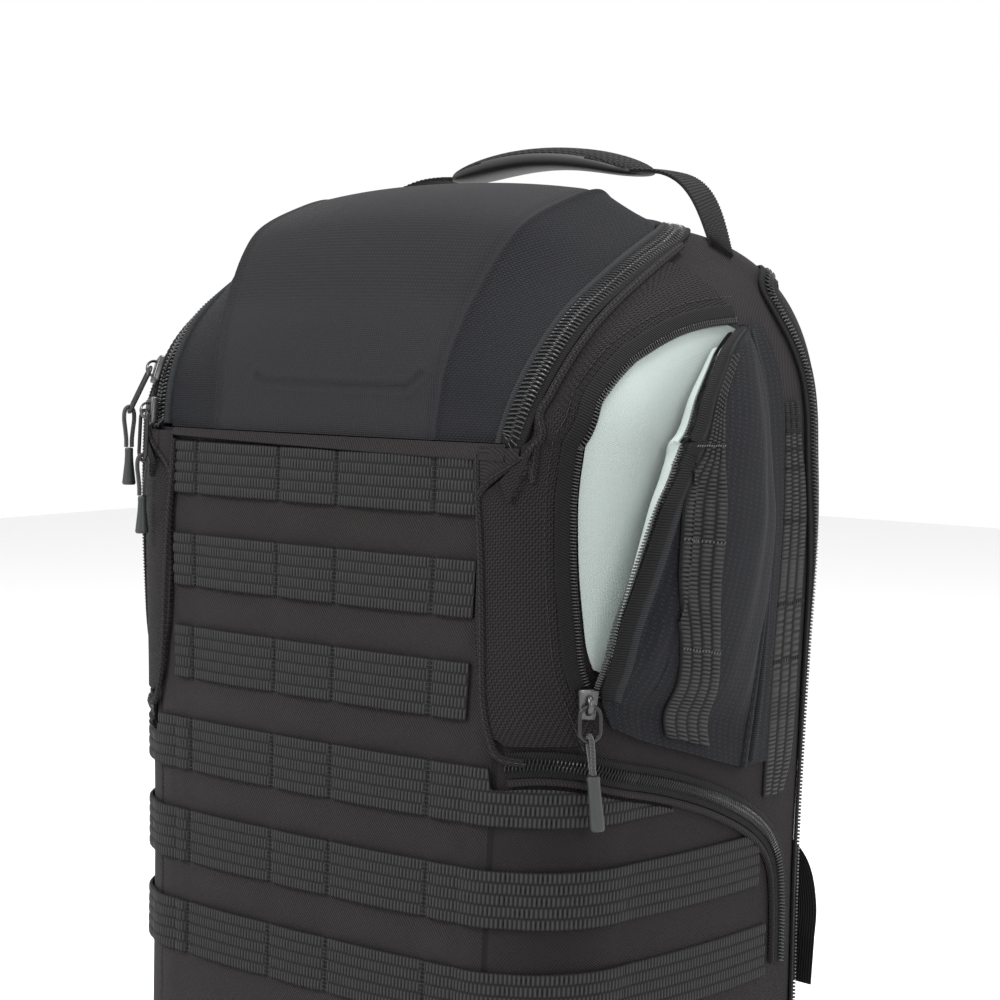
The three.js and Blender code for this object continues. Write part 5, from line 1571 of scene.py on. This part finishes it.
def pillow(name, columns, rows, outline, base, height):  # a closed pad, crowned on its outer face
    count = 2 * rows

    def place(u, v):
        j = np.rint(v * count).astype(int)
        over = j <= rows
        w = np.where(over, j / rows, 2 - j / rows)
        a, b = 2 * (1 - u) - 1, 2 * w - 1
        x, z = outline(a * np.sqrt(1 - b * b / 2 * 0.35), b * np.sqrt(1 - a * a / 2 * 0.35))
        rim = (1 - np.abs(a)**6) * (1 - np.abs(b)**6)
        lift = np.where(over, height(a, b) * np.clip(rim, 0, 1)**0.35, 0)
        return vec(x, base(z) + lift, z)

    return clothGrid(name, columns, count, place, weld=True)


def padOutline(inner, outer, foot, top):
    def outline(a, b):
        x = plateHalf * lerp(inner, outer, (a + 1) / 2)
        z = lerp(backSizes["plateFoot"], plateTop, lerp(foot, top, (b + 1) / 2))
        return x, z

    return outline


platePiece = pillow("backPlatePad", 60, 70, padOutline(-0.99, 0.99, 0.005, 0.995), plateFace,
                    lambda a, b: backSizes["plateThickness"] - 0.2 + 0 * a)
dressed(platePiece, "shell", "back_fabric", "back_plate")
padBase = lambda z: plateFace(z) + backSizes["plateThickness"] + 0.2


def quilted(a, b):
    groove = sum(np.exp(-((b - g) / 0.03)**2) for g in (-0.5, 0.0, 0.5))
    return backSizes["pad"] * (1 - 0.35 * groove) + 0 * a


for side, sign in (("right", 1), ("left", -1)):
    inner, outer = (0.092, 0.77) if sign > 0 else (-0.77, -0.092)
    piece = pillow(f"backPadMesh_{side}", 40, 80, padOutline(inner, outer, 0.279, 0.843), padBase, quilted)
    dressed(piece, "mesh", "back_mesh", f"back_pad_{side}")
lumbar = pillow("lumbarPadMesh", 70, 40, padOutline(-0.77, 0.77, 0.056, 0.254), padBase,
                lambda a, b: backSizes["pad"] * (1 - 0.3 * np.exp(-(a / 0.04)**2)))
dressed(lumbar, "mesh", "back_mesh", "lumbar_pad")

# The straps from the top down, as shares of the plate's half width and height
strapRows = {
    "x": [0.354, 0.369, 0.415, 0.477, 0.523, 0.523, 0.492],
    "z": [0.922, 0.876, 0.783, 0.668, 0.553, 0.461, 0.396],
    "stand": [0, 0.32, 0.72, 0.97, 0.97, 0.87, 0.77],
    "width": [0.9, 0.97, 1, 0.97, 0.87, 0.74, 0.55],
}
lowerRows = {
    "x": [0.492, 0.508, 0.592, 0.746, 0.862, 0.923, 0.938, 0.931],
    "z": [0.378, 0.355, 0.332, 0.313, 0.295, 0.263, 0.23, 0.18],
    "stand": [0.92, 0.97, 0.97, 0.82, 0.57, 0.27, 0.045, 0],
}


def strapHalf(k):
    return backSizes["strapWidth"] * along(strapRows["width"], k) / 2


def ribbon(name, rows, steps, half, thickness, mirror):
    def centre(k):
        z = along(rows["z"], k) * plateTop
        stand = backSizes["plateThickness"] + 0.6 + backSizes["strapStand"] * along(rows["stand"], k)
        return vec(plateHalf * along(rows["x"], k), plateFace(z) + stand, z)

    count = 24

    def place(u, k):
        turn = u * 2 * math.pi
        ahead = unit(centre(np.minimum(k + 0.01, 1)) - centre(np.maximum(k - 0.01, 0)))
        across = unit(np.cross(ahead, np.array([0.0, 1.0, 0.0])))
        out = unit(np.cross(across, ahead))
        side = np.sign(np.cos(turn)) * np.abs(np.cos(turn))**0.5
        rise = 0.5 + 0.5 * np.sign(np.sin(turn)) * np.abs(np.sin(turn))**0.6
        return centre(k) + across * (-side * half(k))[..., None] + out * (thickness * rise)[..., None]

    return clothGrid(name, count, steps, place, weld=True, mirror=mirror)


for side, mirror in (("right", False), ("left", True)):
    strap = ribbon(f"shoulderStrapPad_{side}", strapRows, 80, strapHalf, backSizes["strapThickness"], mirror)
    dressed(strap, "mesh", "back_mesh", f"shoulder_strap_{side}")
    lower = ribbon(f"lowerStrapWebbing_{side}", lowerRows, 120, lambda k: backSizes["webbing"] / 2 + 0 * k,
                   webbingSizes["wall"], mirror)
    dressed(lower, "ribbed", "webbing", f"lower_strap_{side}")

print("stage")
for piece in templates:
    bpy.data.objects.remove(piece)
stageSizes = {"floor": 6.0, "sky": 1.0}
lights = {  # place, what it looks at, size and power
    "keyLight": ((-0.7, -1.5, 1.6), (0, 0, 0.3), 0.5, 34),
    "fillLight": ((1.7, -0.7, 0.9), (0, 0, 0.25), 0.6, 10),
    "topLight": ((0.3, 0.3, 1.7), (0, 0, 0.35), 0.5, 22),
    "rimLight": ((1.2, 1.4, 1.0), (0, 0, 0.3), 0.8, 9),
}
bpy.ops.object.select_all(action="DESELECT")
bpy.ops.mesh.primitive_plane_add(size=stageSizes["floor"])
floor = bpy.context.object
floor.name = "floor"
floorFinish = hardFinish("paleFloor", grey(0.8), grey(0.84), 0.7)
floor.data.materials.append(floorFinish.material)
world = bpy.data.worlds.new("studio")
bpy.context.scene.world = world
world.use_nodes = True
world.node_tree.nodes["Background"].inputs["Color"].default_value = (1, 1, 1, 1)
world.node_tree.nodes["Background"].inputs["Strength"].default_value = stageSizes["sky"]
bpy.context.scene.view_settings.view_transform = "Standard"


def softLight(name, place, target, size, power):
    bpy.ops.object.light_add(type="AREA", location=place)
    light = bpy.context.object
    light.name = name
    light.data.size = size
    light.data.energy = power
    aim = Vector(target) - Vector(place)
    light.rotation_euler = aim.to_track_quat("-Z", "Y").to_euler()


for name, facts in lights.items():
    softLight(name, *facts)

print("done")
